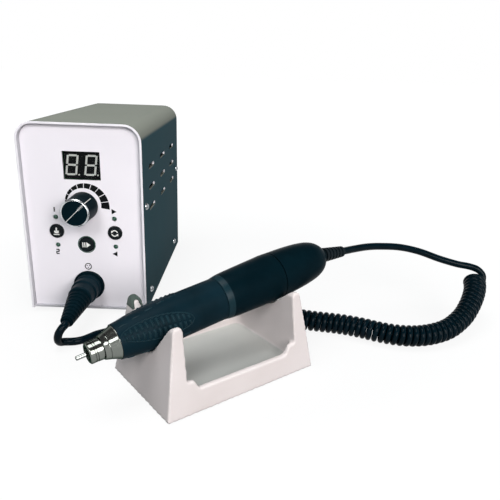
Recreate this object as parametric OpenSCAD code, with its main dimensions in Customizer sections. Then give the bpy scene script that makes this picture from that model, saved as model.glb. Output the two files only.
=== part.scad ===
// Micromotor set: a control box, a handpiece lying in its cradle, and the curly cord between them.
// Millimetres. X runs to the right, Y to the back, Z up. The origin is on the floor, under the
// middle of the control box, and the box's front faces -Y.

/* [Control box] */
// Width over the cover
box_w = 84; // [82:1:92]
// Height from the floor to the top of the cover
box_h = 137; // [135:1:150]
// Depth over the cover
box_d = 162; // [156:1:176]
// Radius of the cover's two top corners
cover_r = 12; // [8:1:16]
// Sheet thickness of cover, panels and tray
sheet = 1.5; // [1.2:0.1:1.8]
// How far the panels sit back behind the cover's rim
recess = 4; // [3:0.5:6]
// Height of the rubber feet
foot_h = 3; // [2:0.5:5]
// Length of a side vent slot
vent_l = 20; // [14:1:26]
// Height of a side vent slot
vent_h = 3; // [2:0.5:4]

/* [Front panel] */
// Display window width
display_w = 25; // [22:0.5:28]
// Display window height
display_h = 19; // [17:0.5:22]
// Knob diameter at its base
knob_d = 20; // [18:0.5:22]
// Knob height in front of the panel
knob_h = 20.8; // [18:0.2:24]
// Side key diameter
key_d = 9.8; // [8.6:0.2:11]
// Run key diameter
run_d = 10.8; // [9:0.2:12]
// Motor socket collar diameter
collar_d = 22; // [21:0.5:24]
// Key travel
key_travel = 0.6; // [0.4:0.1:0.8]

/* [Cradle] */
// Length along the handpiece, at the floor
cradle_l = 102; // [98:1:108]
// Width across the handpiece, at the floor
cradle_w = 66; // [62:1:72]
// Height of the prongs
cradle_h = 49.5; // [47:0.5:53]
// Inward lean of the outer faces, in degrees
lean = 8.4; // [6:0.2:10]
// Height of the tray's front and rear lips
lip_h = 13; // [11:0.5:15]
// Moulding wall thickness
shell_t = 2.4; // [2:0.2:3]

/* [Handpiece] */
// Greatest diameter of the front grip
grip_d = 25.6; // [25:0.2:27.2]
// Greatest diameter of the twist ring
ring_d = 30.1; // [29:0.2:31.4]
// Diameter of the steel nose
nose_d = 11.7; // [11:0.1:12.6]
// Tool shank diameter
shank_d = 2.35; // [2.2:0.05:2.5]
// Length of shank in front of the nose
shank_out = 6; // [4:0.5:12]

/* [Cord] */
// Diameter of the straight leads
lead_d = 5.2; // [4.6:0.1:5.4]
// Diameter of the cord in the curls
curl_cord_d = 2.9; // [2.6:0.1:2.9]
// Mean radius of the curls
curl_r = 5.4; // [5:0.1:5.6]

/* [Hidden] */
$fn = 48;
// clearance round fixed pieces, round moving ones and in running fits
fit = 0.2;
gap = 0.3;
run = 0.05;

// inside of the cover, and the front faces of the panels
in_w = box_w - 2 * sheet;
face_y = -box_d / 2 + recess;
floor_z = foot_h + sheet;

// panel features, as [x, z]; above the socket, heights keep their share of the box's
share = box_h / 137;
display_at = [0, 108 * share];
knob_at = [0, 80.5 * share];
key_x = 20.5;
mode_at = [-key_x, 61.3 * share];
turn_at = [key_x, 61.3 * share];
run_at = [0, 52 * share];
socket_at = [0, 21];
lamp_at = [for (x = [-key_x, key_x], z = [71.5, 51]) [x, z * share]];

// front circuit board behind the panel
board_gap = 9.4;
board_t = 1.6;
board_z = -sheet - board_gap;
board_edge = 4;
board_w = in_w - 7;
board_low = socket_at[1] + 15;
board_top = box_h - 9;
post_at = [for (s = [-1, 1], z = [board_low + board_edge, board_top - board_edge])
  [s * (board_w / 2 - board_edge), z]];

// side screws, as [y, z], and what they go through
screw_r = 1.5;
upper_screw_z = 80 * share;
screw_at = [
  [-box_d / 2 + recess + 5, upper_screw_z],
  [box_d / 2 - recess - 5, upper_screw_z],
  [-63, 13.5],
  [52, 13.5]
];
vent_y = [-48, -1.5, 45];
vent_z = [75, 90, 105] * share;
foot_at = [for (x = [-29, 29], y = [-62, 62]) [x, y]];

// outline helpers
function arc(c, r, a0, a1, n = 10) =
  [for (i = [0:n]) c + r * [cos(a0 + (a1 - a0) * i / n), sin(a0 + (a1 - a0) * i / n)]];
function unit(v) = v / norm(v);
// a smooth curve through the points p, with n steps between neighbours
function bend(a, b, c, d, t) =
  0.5 * (2 * b + (c - a) * t + (2 * a - 5 * b + 4 * c - d) * t * t + (3 * b - a - 3 * c + d) * t * t * t);
function spline(p, n) = concat(
  [for (i = [0:len(p) - 2], k = [0:n - 1])
    bend(p[max(i - 1, 0)], p[i], p[i + 1], p[min(i + 2, len(p) - 1)], k / n)],
  [p[len(p) - 1]]
);

// an arch: square at the foot, round at the two top corners
module arch(w, h, r) {
  polygon(concat(
    [[-w / 2, 0], [w / 2, 0]],
    arc([w / 2 - r, h - r], r, 0, 90),
    arc([-w / 2 + r, h - r], r, 90, 180)
  ));
}

// a slot with round ends, lying along X
module slot(l, w) {
  polygon(concat(
    arc([l / 2 - w / 2, 0], w / 2, -90, 90, 8),
    arc([-l / 2 + w / 2, 0], w / 2, 90, 270, 8)
  ));
}

// a rectangle with round corners
module round_rect(w, h, r) {
  polygon(concat(
    arc([w / 2 - r, h / 2 - r], r, 0, 90, 6),
    arc([-w / 2 + r, h / 2 - r], r, 90, 180, 6),
    arc([-w / 2 + r, -h / 2 + r], r, 180, 270, 6),
    arc([w / 2 - r, -h / 2 + r], r, 270, 360, 6)
  ));
}

// stand a drawing in XZ up and extrude it from y0 to y1
module along_y(y0, y1) {
  translate([0, y1, 0])
    rotate([90, 0, 0])
      linear_extrude(y1 - y0)
        children();
}

// work on the front panel: local Z points out of it, from its face
module front(at, z = 0) {
  translate([at[0], face_y - z, at[1]])
    rotate([90, 0, 0])
      children();
}

// work on the rear panel: local Z points out of it, local Y down
module rear(at, z = 0) {
  translate([at[0], -face_y + z, at[1]])
    rotate([-90, 0, 0])
      children();
}

module tube_z(r_out, r_in, h) {
  difference() {
    cylinder(h = h, r = r_out);
    translate([0, 0, -1])
      cylinder(h = h + 2, r = r_in);
  }
}

// Sheet-metal case

module side_screw_holes(r) {
  for (s = screw_at)
    translate([-box_w, s[0], s[1]])
      rotate([0, 90, 0])
        cylinder(h = 2 * box_w, r = r);
}

module top_cover() {
  color("#8f9088")
    difference() {
      translate([0, 0, foot_h])
        along_y(-box_d / 2, box_d / 2)
          difference() {
            arch(box_w, box_h - foot_h, cover_r);
            translate([0, -1])
              arch(in_w, box_h - foot_h - sheet + 1, cover_r - sheet);
          }
      for (y = vent_y, z = vent_z)
        translate([-box_w, y, z])
          rotate([90, 0, 90])
            linear_extrude(2 * box_w)
              slot(vent_l, vent_h);
      side_screw_holes(screw_r + fit);
    }
}

flange_h = 18;
flange_y = -face_y - sheet - 1;

module base_tray() {
  color("#7d7f80")
    difference() {
      union() {
        translate([-in_w / 2, face_y - 2, foot_h])
          cube([in_w, -2 * face_y + 4, sheet]);
        for (s = [-1, 1])
          translate([s * (in_w / 2 - sheet / 2) - sheet / 2, -flange_y, foot_h])
            cube([sheet, 2 * flange_y, flange_h]);
      }
      side_screw_holes(screw_r + fit);
      for (x = [-22, -11, 0, 11, 22], y = [-40])
        translate([x, y, 0])
          rotate([0, 0, 90])
            linear_extrude(floor_z + 1)
              slot(26, 3);
    }
}

tab_l = 12;
tab_h = 26;

// a panel with two side tabs behind it, made at the front
module panel_blank() {
  translate([0, 0, floor_z])
    along_y(face_y, face_y + sheet)
      arch(in_w - 2 * fit, box_h - sheet - fit - floor_z, cover_r - sheet - fit);
  for (s = [-1, 1])
    translate([s * (in_w / 2 - fit - sheet / 2) - sheet / 2, face_y + sheet / 2, upper_screw_z - tab_h / 2])
      cube([sheet, tab_l, tab_h]);
}

module front_panel() {
  color("#e4dfe8")
    difference() {
      panel_blank();
      side_screw_holes(screw_r + fit);
      front(display_at, -sheet - 1)
        linear_extrude(sheet + 2)
          square([display_w + 2 * fit, display_h + 2 * fit], center = true);
      front(knob_at, -sheet - 1)
        cylinder(h = sheet + 2, r = bush_r + fit);
      for (at = [mode_at, turn_at])
        front(at, -sheet - 1)
          cylinder(h = sheet + 2, r = key_d / 2 + gap);
      front(run_at, -sheet - 1)
        cylinder(h = sheet + 2, r = run_d / 2 + gap);
      for (at = lamp_at)
        front(at, -sheet - 1)
          cylinder(h = sheet + 2, r = lamp_r + fit);
      front(socket_at, -sheet - 1)
        cylinder(h = sheet + 2, r = barrel_r + fit);
    }
}

module rear_panel() {
  color("#9a9c9d")
    difference() {
      mirror([0, 1, 0])
        panel_blank();
      side_screw_holes(screw_r + fit);
      rear(inlet_at, -sheet - 1)
        linear_extrude(sheet + 2)
          square([inlet_w + 2 * fit, inlet_h + 2 * fit], center = true);
      for (s = [-1, 1])
        rear(inlet_at + [s * inlet_pitch / 2, 0], -sheet - 1)
          cylinder(h = sheet + 2, r = screw_r + fit);
      rear(rocker_at, -sheet - 1)
        linear_extrude(sheet + 2)
          square([rocker_w + 2 * fit, rocker_h + 2 * fit], center = true);
      rear(fuse_at, -sheet - 1)
        cylinder(h = sheet + 2, r = fuse_r + fit);
      rear(jack_at, -sheet - 1)
        cylinder(h = sheet + 2, r = jack_r + fit);
      for (x = [-18, -9, 0, 9, 18])
        rear([x, box_h - 21], -sheet - 1)
          rotate([0, 0, 90])
            linear_extrude(sheet + 2)
              slot(14, 3);
    }
}

module cover_screws() {
  color("#c9ccce")
    for (s = screw_at, side = [0, 1])
      mirror([side, 0, 0])
        translate([box_w / 2, s[0], s[1]])
          rotate([0, 90, 0]) {
            cylinder(h = 1.7, r1 = 2.9, r2 = 2.2);
            translate([0, 0, -7])
              cylinder(h = 7.5, r = screw_r);
          }
}

module rubber_feet() {
  color("#1c1d1e")
    for (at = foot_at)
      translate([at[0], at[1], 0])
        difference() {
          cylinder(h = foot_h, r1 = 6, r2 = 7);
          translate([0, 0, -1])
            cylinder(h = 2, r = 2.6);
        }
}

// Front panel pieces

window_rim = 1.5;

module display_window() {
  color("#14181c", 0.6)
    front(display_at) {
      translate([0, 0, -sheet])
        linear_extrude(sheet)
          square([display_w, display_h], center = true);
      translate([0, 0, -sheet - 1])
        linear_extrude(1)
          square([display_w + 2 * window_rim, display_h + 2 * window_rim], center = true);
    }
}

// two-digit module on the board, with the digits' light channels sunk in its face
digit_w = 7.8;
digit_h = 14.2;
digit_pitch = 12.7;
bar_w = 1.4;

module digit_bars() {
  for (y = [-1, 0, 1])
    translate([0, y * (digit_h - bar_w) / 2])
      square([digit_w - 2 * bar_w, bar_w], center = true);
  for (x = [-1, 1], y = [-1, 1])
    translate([x * (digit_w - bar_w) / 2, y * digit_h / 4])
      square([bar_w, digit_h / 2 - 1.6 * bar_w], center = true);
}

module display_module() {
  color("#1b1d20")
    front(display_at)
      difference() {
        translate([0, 0, board_z])
          linear_extrude(board_gap - 1.8)
            square([display_w - 0.4, display_h - 0.4], center = true);
        for (s = [-1, 1])
          translate([s * digit_pitch / 2, 0, -sheet - 1.8 - 0.6]) {
            linear_extrude(2)
              digit_bars();
            translate([digit_w / 2 + 1.2, -digit_h / 2 + 0.8, 0])
              cylinder(h = 2, r = 0.8);
          }
      }
}

module main_board() {
  color("#1f5a34")
    difference() {
      front([0, (board_low + board_top) / 2], board_z - board_t)
        linear_extrude(board_t)
          square([board_w, board_top - board_low], center = true);
      for (at = post_at)
        front(at, board_z - board_t - 1)
          cylinder(h = board_t + 2, r = screw_r + fit);
    }
}

module board_posts() {
  color("#c8b27a") {
    for (at = post_at)
      front(at, board_z)
        difference() {
          cylinder(h = board_gap, r = 3, $fn = 6);
          translate([0, 0, -1])
            cylinder(h = 6, r = screw_r);
        }
    for (s = [-1, 1], y = [power_y + board_edge, power_y + power_l - board_edge])
      translate([s * (power_w / 2 - board_edge), y, floor_z])
        cylinder(h = power_z - floor_z, r = 3, $fn = 6);
  }
}

module board_screws() {
  color("#c9ccce")
    for (at = post_at)
      front(at, board_z - board_t) {
        translate([0, 0, -1.6])
          cylinder(h = 1.6, r1 = 2.1, r2 = 2.8);
        cylinder(h = board_t + 4, r = screw_r - 0.02);
      }
}

bush_r = 3.5;
shaft_r = 3;
pot_r = 8;
nut_h = 2;

module speed_pot() {
  color("#6f7376")
    front(knob_at)
      difference() {
        union() {
          translate([0, 0, board_z])
            cylinder(h = board_gap - 1.4, r = pot_r);
          translate([0, 0, -sheet - 1.4])
            cylinder(h = 1.4, r = 6);
          translate([0, 0, -sheet - 0.5])
            cylinder(h = sheet + 5.5, r = bush_r);
        }
        translate([0, 0, board_z + 2])
          cylinder(h = 30, r = shaft_r + run);
      }
}

module pot_nut() {
  color("#b9bcbe")
    front(knob_at)
      difference() {
        cylinder(h = nut_h, r = 5.6, $fn = 6);
        translate([0, 0, -1])
          cylinder(h = nut_h + 2, r = bush_r + run);
      }
}

module pot_shaft() {
  color("#b9bcbe")
    front(knob_at, board_z + 2.3)
      cylinder(h = -board_z - 2.3 + knob_h - 5, r = shaft_r);
}

knob_gap = 0.8;
knob_top_r = knob_d / 2 - 0.5;
knob_turn = -45;

// the white line set into the knob's face and flank
module pointer_line() {
  rotate([0, 0, knob_turn]) {
    translate([-0.6, 3.2, knob_h - 0.5])
      cube([1.2, knob_top_r - 4.4, 1]);
    translate([0, (knob_d / 2 + knob_top_r) / 2, 0])
      rotate([1.4, 0, 0])
        translate([-0.6, -0.5, 3])
          cube([1.2, 2, knob_h - 5]);
  }
}

module knob_solid() {
  rotate_extrude()
    polygon([
      [0, knob_gap], [knob_d / 2 - 0.4, knob_gap], [knob_d / 2, knob_gap + 0.4],
      [knob_top_r, knob_h - 0.8], [knob_top_r - 0.8, knob_h], [0, knob_h]
    ]);
}

module speed_knob() {
  color("#0f1113")
    front(knob_at)
      difference() {
        knob_solid();
        translate([0, 0, -1])
          cylinder(h = 7.5, r = 7);
        translate([0, 0, -1])
          cylinder(h = knob_h - 3.5, r = shaft_r + 0.01);
        pointer_line();
      }
}

module knob_pointer() {
  color("#f4f4f2")
    front(knob_at)
      intersection() {
        pointer_line();
        knob_solid();
      }
}

lamp_r = 1.5;

module indicator_lamps() {
  color("#1b5a4a")
    for (at = lamp_at)
      front(at) {
        translate([0, 0, -5.5])
          cylinder(h = 5.5, r = lamp_r);
        intersection() {
          translate([0, 0, -0.9])
            sphere(r = 1.75);
          cylinder(h = 2, r = lamp_r);
        }
        translate([0, 0, -6.4])
          cylinder(h = 1, r = 1.9);
        for (x = [-0.6, 0.6])
          translate([x - 0.25, -0.25, board_z])
            cube([0.5, 0.5, -6 - board_z]);
      }
}

switch_h = 3.6;
switch_top = board_z + switch_h + 0.8;

module key_switches() {
  color("#3a3d40")
    for (at = [mode_at, turn_at, run_at])
      front(at) {
        translate([-3, -3, board_z])
          cube([6, 6, switch_h]);
        translate([0, 0, board_z + switch_h - 0.1])
          cylinder(h = 0.9, r = 1.7);
      }
}

key_proud = 1;

// a round key: domed cap, a rim behind the panel that keeps it in, and a stem over its switch
module key(at, d) {
  front(at) {
    rotate_extrude()
      polygon(concat(
        [[0, -4], [1.6, -4], [1.6, -sheet - 1.3], [d / 2 + 1, -sheet - 1.3], [d / 2 + 1, -sheet - 0.1],
        [d / 2, -sheet - 0.1]],
        arc([d / 2 - 0.6, key_proud - 0.6], 0.6, 0, 90, 4),
        [[0, key_proud]]
      ));
    translate([0, 0, switch_top + key_travel + 0.2])
      cylinder(h = -4.5 - switch_top - key_travel + 0.6, r = 1.6);
  }
}

module mode_key() {
  color("#15181a")
    key(mode_at, key_d);
}

module turn_key() {
  color("#15181a")
    key(turn_at, key_d);
}

module run_key() {
  color("#15181a")
    key(run_at, run_d);
}

// Motor socket, plug and boot

barrel_r = 8.8;
bore_r = 7.3;
collar_h = 2.7;
pin_at = [for (a = [45:90:315]) 3.6 * [cos(a), sin(a)]];

module motor_socket() {
  color("#0d0f11")
    front(socket_at)
      difference() {
        rotate_extrude()
          polygon(concat(
            [[0, -15], [barrel_r, -15], [barrel_r, 0], [collar_d / 2, 0]],
            arc([collar_d / 2 - 1, collar_h - 1], 1, 0, 90, 4),
            [[0, collar_h]]
          ));
        translate([0, 0, -12])
          cylinder(h = 30, r = bore_r);
      }
}

module socket_nut() {
  color("#b9bcbe")
    front(socket_at, -sheet - 3)
      difference() {
        cylinder(h = 3, r = 12.4, $fn = 6);
        translate([0, 0, -1])
          cylinder(h = 5, r = barrel_r + run);
      }
}

module socket_pins() {
  color("#c7a24a")
    front(socket_at)
      for (p = pin_at)
        translate([p[0], p[1], -12])
          cylinder(h = 8, r = 0.7);
}

plug_l = 24;

module motor_plug() {
  color("#101214")
    front(socket_at)
      difference() {
        rotate_extrude()
          polygon([
            [0, -11.5], [bore_r - 0.5, -11.5], [bore_r - 0.1, -11], [bore_r - 0.1, collar_h],
            [9.4, collar_h], [9.4, collar_h + 4], [8.8, collar_h + 4.6], [8.8, collar_h + 6],
            [9.2, collar_h + 6.6], [9.2, 14], [8.2, 15], [8.2, plug_l - 1], [7.6, plug_l], [0, plug_l]
          ]);
        for (p = pin_at)
          translate([p[0], p[1], -13])
            cylinder(h = 10, r = 1);
      }
}

// a ribbed boot: a ball that sits in the piece before it, then rings that taper to the cord
module ribbed_boot(l, r0, r1, ribs) {
  step = (l - 4) / ribs;
  rotate_extrude()
    polygon(concat(
      [[0, 0], [r0 - 1.2, 0], [r0 - 1.2, 4]],
      [for (i = [0:ribs - 1], k = [0:3])
        let (z = 4 + step * i, r = r0 + (r1 - r0) * i / (ribs - 1))
          k == 0 ? [r, z] : k == 1 ? [r - 0.15, z + 0.62 * step]
          : k == 2 ? [r - 0.9, z + 0.7 * step] : [r - 0.9, z + 0.98 * step]],
      [[r1 - 0.9, l], [0, l]]
    ));
}

plug_droop = 8.6;
boot_l = 30;
boot_at = [socket_at[0], face_y - plug_l + 2, socket_at[1]];
boot_dir = [0, -cos(plug_droop), -sin(plug_droop)];
boot_end = boot_at + boot_l * boot_dir;

module plug_boot() {
  color("#131517")
    translate(boot_at)
      rotate([90 + plug_droop, 0, 0])
        ribbed_boot(boot_l, 7.6, 4.4, 8);
}

// Inside the case

core_y = 22;
core_w = 52;
core_t = 32;
core_h = 44;
limb_w = 14;
window_w = (core_w - limb_w) / 2 - 7;
window_h = 24;
wind_t = 11;

module transformer_core() {
  color("#5b5f63")
    translate([0, core_y, floor_z])
      difference() {
        translate([-core_w / 2, -core_t / 2, 0])
          cube([core_w, core_t, core_h]);
        for (s = [-1, 1])
          translate([s * (limb_w + window_w) / 2 - window_w / 2, -core_t, (core_h - window_h) / 2])
            cube([window_w, 2 * core_t, window_h]);
      }
}

module transformer_winding() {
  color("#b8862f")
    translate([0, core_y, floor_z + (core_h - window_h) / 2])
      difference() {
        translate([0, 0, 0.5])
          linear_extrude(window_h - 1)
            round_rect(limb_w + 2 * wind_t + 1, core_t + 2 * wind_t, 9);
        translate([-limb_w / 2, -core_t / 2, -1])
          cube([limb_w, core_t, window_h + 6]);
      }
}

power_z = floor_z + 8;
power_y = -52;
power_w = 66;
power_l = 44;
can_d = 16;
can_h = 26;
fins = 6;
fin_t = 1.5;
fin_l = 14;
sink_w = 22;
sink_h = 28;

module power_board() {
  color("#22603a")
    translate([-power_w / 2, power_y, power_z])
      cube([power_w, power_l, board_t]);
}

module capacitors() {
  color("#26324a")
    for (i = [0, 1])
      translate([-power_w / 2 + 1 + can_d / 2 + i * (can_d + 3), power_y + 28, power_z + board_t])
        cylinder(h = can_h, r = can_d / 2);
}

module heat_sink() {
  color("#8b9094")
    translate([power_w / 2 - 25, power_y + 2, power_z + board_t]) {
      cube([sink_w, 3, sink_h]);
      for (i = [0:fins - 1])
        translate([i * (sink_w - fin_t) / (fins - 1), 2, 0])
          cube([fin_t, fin_l, sink_h]);
    }
}

// Rear panel pieces

inlet_at = [0, 30];
inlet_w = 27;
inlet_h = 19.8;
inlet_pitch = 40;
inlet_depth = 18;
cavity_w = 24.4;
cavity_h = 16.4;
rocker_at = [20, 66 * share];
rocker_w = 12.8;
rocker_h = 19;
fuse_at = [-20, 66 * share];
fuse_r = 6;
jack_at = [0, 92 * share];
jack_r = 4.5;
jack_bore_r = 3.2;

// the coupler's outline: a rectangle with its two lower corners cut
module coupler(w, h, cut) {
  polygon([
    [-w / 2, h / 2], [-w / 2, -h / 2 + cut], [-w / 2 + cut, -h / 2],
    [w / 2 - cut, -h / 2], [w / 2, -h / 2 + cut], [w / 2, h / 2]
  ]);
}

module mains_inlet() {
  color("#17191b")
    rear(inlet_at)
      difference() {
        union() {
          linear_extrude(2.6)
            round_rect(49, 24, 6);
          translate([0, 0, -inlet_depth - 2])
            linear_extrude(inlet_depth + 3)
              square([inlet_w, inlet_h], center = true);
        }
        translate([0, 0, -inlet_depth])
          linear_extrude(inlet_depth + 10)
            coupler(cavity_w, cavity_h, 4.5);
        for (s = [-1, 1])
          translate([s * inlet_pitch / 2, 0, -1]) {
            cylinder(h = 10, r = screw_r + fit);
            translate([0, 0, 2])
              cylinder(h = 1.7, r1 = screw_r + fit, r2 = screw_r + fit + 1.7);
          }
      }
}

module inlet_pins() {
  color("#c9ccce")
    rear(inlet_at)
      for (p = [[-7, -2], [0, 2], [7, -2]])
        translate([p[0] - 1, p[1] - 2, -inlet_depth])
          cube([2, 4, 12]);
}

module inlet_screws() {
  color("#c9ccce")
    for (s = [-1, 1])
      rear(inlet_at + [s * inlet_pitch / 2, 0]) {
        translate([0, 0, 1.1])
          cylinder(h = 1.4, r1 = screw_r, r2 = screw_r + 1.5);
        translate([0, 0, -5])
          cylinder(h = 6.2, r = screw_r);
        translate([0, 0, -sheet - 2.4])
          difference() {
            cylinder(h = 2.4, r = 3.1, $fn = 6);
            translate([0, 0, -1])
              cylinder(h = 5, r = screw_r);
          }
      }
}

module rocker_frame() {
  color("#121416")
    rear(rocker_at)
      difference() {
        union() {
          linear_extrude(2)
            round_rect(15, 21, 1.2);
          translate([0, 0, -14])
            linear_extrude(14.5)
              square([rocker_w, rocker_h], center = true);
        }
        translate([0, 0, -7])
          linear_extrude(20)
            square([rocker_w - 2.8, rocker_h - 2.6], center = true);
        translate([-rocker_w, 0, -1])
          rotate([0, 90, 0])
            cylinder(h = 2 * rocker_w, r = 1 + run);
      }
}

rocker_tip = 9;

// the rocker on its cross pin: two flats that meet in a shallow V
module power_rocker() {
  color("#1a1c1e")
    rear(rocker_at, -1)
      rotate([rocker_tip, 0, 0]) {
        translate([-(rocker_w - 2.8) / 2 + gap, 0, 0])
          rotate([90, 0, 90])
            linear_extrude(rocker_w - 2.8 - 2 * gap)
              polygon([[-7.4, -1], [-2.5, -3], [2.5, -3], [7.4, -1], [7.6, 3.8], [0, 2.6], [-7.6, 3.8]]);
        translate([-rocker_w / 2 + 0.4, 0, 0])
          rotate([0, 90, 0])
            cylinder(h = rocker_w - 0.8, r = 1);
      }
}

module fuse_holder() {
  color("#141618")
    rear(fuse_at)
      difference() {
        union() {
          cylinder(h = 4, r = 8);
          translate([0, 0, 3.9])
            cylinder(h = 5, r1 = 5.6, r2 = 5.2);
          translate([0, 0, -26])
            cylinder(h = 26.5, r = fuse_r);
        }
        translate([-4, -0.6, 7.9])
          cube([8, 1.2, 2]);
      }
}

module foot_jack() {
  color("#1a1c1e")
    rear(jack_at)
      difference() {
        union() {
          translate([0, 0, -sheet - 20])
            linear_extrude(20)
              square([15, 15], center = true);
          translate([0, 0, -sheet - 0.5])
            cylinder(h = sheet + 5.5, r = jack_r);
        }
        translate([0, 0, -sheet - 18])
          cylinder(h = 40, r = jack_bore_r);
      }
}

module jack_nut() {
  color("#c9ccce")
    rear(jack_at)
      difference() {
        cylinder(h = 2.4, r = 7.2, $fn = 6);
        translate([0, 0, -1])
          cylinder(h = 5, r = jack_r + run);
      }
}

// Where the cradle and the handpiece lie, and the handpiece's outline along its axis

stand_at = [77.4, -205.5, 0];
stand_yaw = 38.3;
tilt = 7.6;
axis_z = 38.7;
hand_at = stand_at + [-sin(stand_yaw), cos(stand_yaw), 0] * cradle_w / 2 + [0, 0, axis_z];
hand_dir = [cos(tilt) * cos(stand_yaw), cos(tilt) * sin(stand_yaw), sin(tilt)];
grip_r = grip_d / 2;
ring_r = ring_d / 2;
nose_r = nose_d / 2;
shank_r = shank_d / 2;
motor_r = 10.1;
can_r = 9.2;
nose_z = -28;
grip_z = -12.4;
ring_z = 52.4;
cap_z = 95.1;
tail_z = 137.2;

// outer profiles as [z, r]
grip_pts = spline([
  [grip_z, grip_r - 2.95], [-5, grip_r - 2.1], [1, grip_r - 1.4], [8, grip_r - 0.65], [16, grip_r - 0.15],
  [32, grip_r - 0.05], [ring_z - 0.4, grip_r]
], 4);
ring_pts = spline([
  [ring_z, ring_r - 2.2], [56.5, ring_r - 1.45], [61, ring_r - 1.1], [66, ring_r - 0.9], [72, ring_r - 0.65],
  [79, ring_r - 0.4], [86, ring_r - 0.15], [cap_z - 5, ring_r], [cap_z - 0.5, ring_r - 0.1]
], 4);
cap_pts = spline([
  [cap_z, ring_r - 0.15], [cap_z + 10, ring_r - 0.4], [tail_z - 22, ring_r - 1], [tail_z - 14, ring_r - 2],
  [tail_z - 9.4, ring_r - 3.1], [tail_z - 5.8, ring_r - 4.6], [tail_z - 2.5, ring_r - 7], [tail_z, ring_r - 9.9]
], 4);
hand_pts = concat(grip_pts, ring_pts, cap_pts);
function hand_r(z) = lookup(z, hand_pts);
function flip(p) = [for (q = p) [q[1], q[0]]];

// Cradle, in its own frame: X along the handpiece, Y across it

lean_t = tan(lean);
wall_u = 13.5;
tray_z = 8;
lip_t = 5.5;
shoulder_z = lip_h + 5.5;
shoulder_u = 3.5;
step_u = 4.5;
prong_w = wall_u - cradle_h * lean_t;
prong_r = prong_w / 2;
// half angles of the two seats, and the radius of their upper corners
left_half = 35.5;
right_half = 50;
seat_corner = 6;
cap_t = 1.2;
cap_skirt = 3;

module stand() {
  translate(stand_at)
    rotate([0, 0, stand_yaw])
      children();
}

// half of the front outline, from the prong's outer foot to the lip, for the left end
function end_outline(rise = 0) = concat(
  [[0, 0]],
  arc([wall_u - prong_r, cradle_h + rise - prong_r], prong_r, 180 - lean, 0, 12),
  [[wall_u, shoulder_z]],
  [for (i = [0:8])
    [wall_u + shoulder_u + step_u * i / 8, lip_h + (shoulder_z - lip_h) * (1 + cos(180 * i / 8)) / 2]]
);

function mirrored(p) = [for (i = [len(p) - 1:-1:0]) [cradle_l - p[i][0], p[i][1]]];

module front_outline() {
  polygon(concat(end_outline(), mirrored(end_outline())));
}

// the outline across the handpiece: front and rear faces lean in
module side_outline(h) {
  polygon([[0, 0], [cradle_w, 0], [cradle_w - h * lean_t, h], [h * lean_t, h]]);
}

module lean_body(h) {
  rotate([90, 0, 90])
    translate([0, 0, -1])
      linear_extrude(cradle_l + 2)
        side_outline(h);
}

// the seat that the handpiece lies in: a round bottom close below it, sides that open upwards, round corners
function under_z(u) = axis_z + u * tan(tilt) - (hand_r(u / cos(tilt)) + gap) / cos(tilt);
left_u = [for (i = [0:6]) wall_u * i / 6];
right_u = [for (i = [0:6]) cradle_l - wall_u * i / 6];
function seat_r(us) = max([for (u = us) hand_r(u / cos(tilt)) + gap]);
function seat_low(us) = min([for (u = us) under_z(u)]);

// half of a seat's outline as [out from the middle, z], from the bottom to above the prong
function seat_half(r, low, half) =
  let (c = low + r, top = cradle_h - seat_corner,
    out = (r + seat_corner + sin(half) * (top - c)) / cos(half))
    concat(
      [for (i = [0:8]) [r * sin((90 - half) * i / 8), c - r * cos((90 - half) * i / 8)]],
      arc([out, top], seat_corner, 180 - half, 90, 6)
    );

module seat(us, half) {
  side = seat_half(seat_r(us), seat_low(us), half);
  last = len(side) - 1;
  rotate([90, 0, 90])
    linear_extrude(2 * wall_u)
      translate([cradle_w / 2, 0])
        polygon(concat(
          [for (i = [last:-1:1]) [-side[i][0], side[i][1]]], side,
          [[side[last][0], cradle_h + 40], [-side[last][0], cradle_h + 40]]
        ));
}

module seats() {
  translate([-wall_u, 0, 0])
    seat(left_u, left_half);
  translate([cradle_l - wall_u, 0, 0])
    seat(right_u, right_half);
}

bay_l = (cradle_l - 2 * wall_u - 2 * shell_t) / 3;

module cradle_block() {
  intersection() {
    translate([0, cradle_w + 1, 0])
      rotate([90, 0, 0])
        linear_extrude(cradle_w + 2)
          front_outline();
    lean_body(cradle_h + 5);
  }
}

// in the rear half, a drawing of the left end and its mirror image at the right end
module rear_ends() {
  translate([0, cradle_w + 1, 0])
    rotate([90, 0, 0])
      linear_extrude(cradle_w / 2)
        for (m = [0, 1])
          translate([m * cradle_l, 0])
            mirror([m, 0])
              children();
}

prong_at = [wall_u - prong_r, cradle_h - prong_r];
prong_foot = prong_at + prong_r * [-cos(lean), sin(lean)];
skirt_z = prong_at[1] - cap_skirt;
skirt_u = skirt_z * prong_foot[0] / prong_foot[1];

// the prong's core inside a cap
module neck(slack) {
  t = cap_t + slack;
  polygon(concat(
    [[skirt_u + t, skirt_z - 1]],
    arc(prong_at - [0, 0.6 * cap_t], prong_r - t, 180 - lean, 0, 12),
    [[wall_u - t, skirt_z - 1]]
  ));
}

module cradle() {
  color("#d9d2d0")
    stand()
      difference() {
        cradle_block();
        seats();
        rear_ends()
          difference() {
            translate([-1, skirt_z - run])
              square([wall_u + 2, cradle_h]);
            neck(run);
          }
        translate([cradle_l / 2, cradle_w / 2, tray_z])
          linear_extrude(cradle_h)
            round_rect(cradle_l - 2 * wall_u, cradle_w - 2 * lip_t, 4);
        for (i = [0:2])
          translate([wall_u + i * (bay_l + shell_t), lip_t, -1])
            cube([bay_l, cradle_w - 2 * lip_t, tray_z - shell_t + 1]);
        for (u = [shell_t + 2, cradle_l - wall_u + shell_t])
          translate([u, lip_t + 2, -1])
            cube([wall_u - 2 * shell_t - 2, cradle_w - 2 * lip_t - 4, 15]);
      }
}

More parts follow.
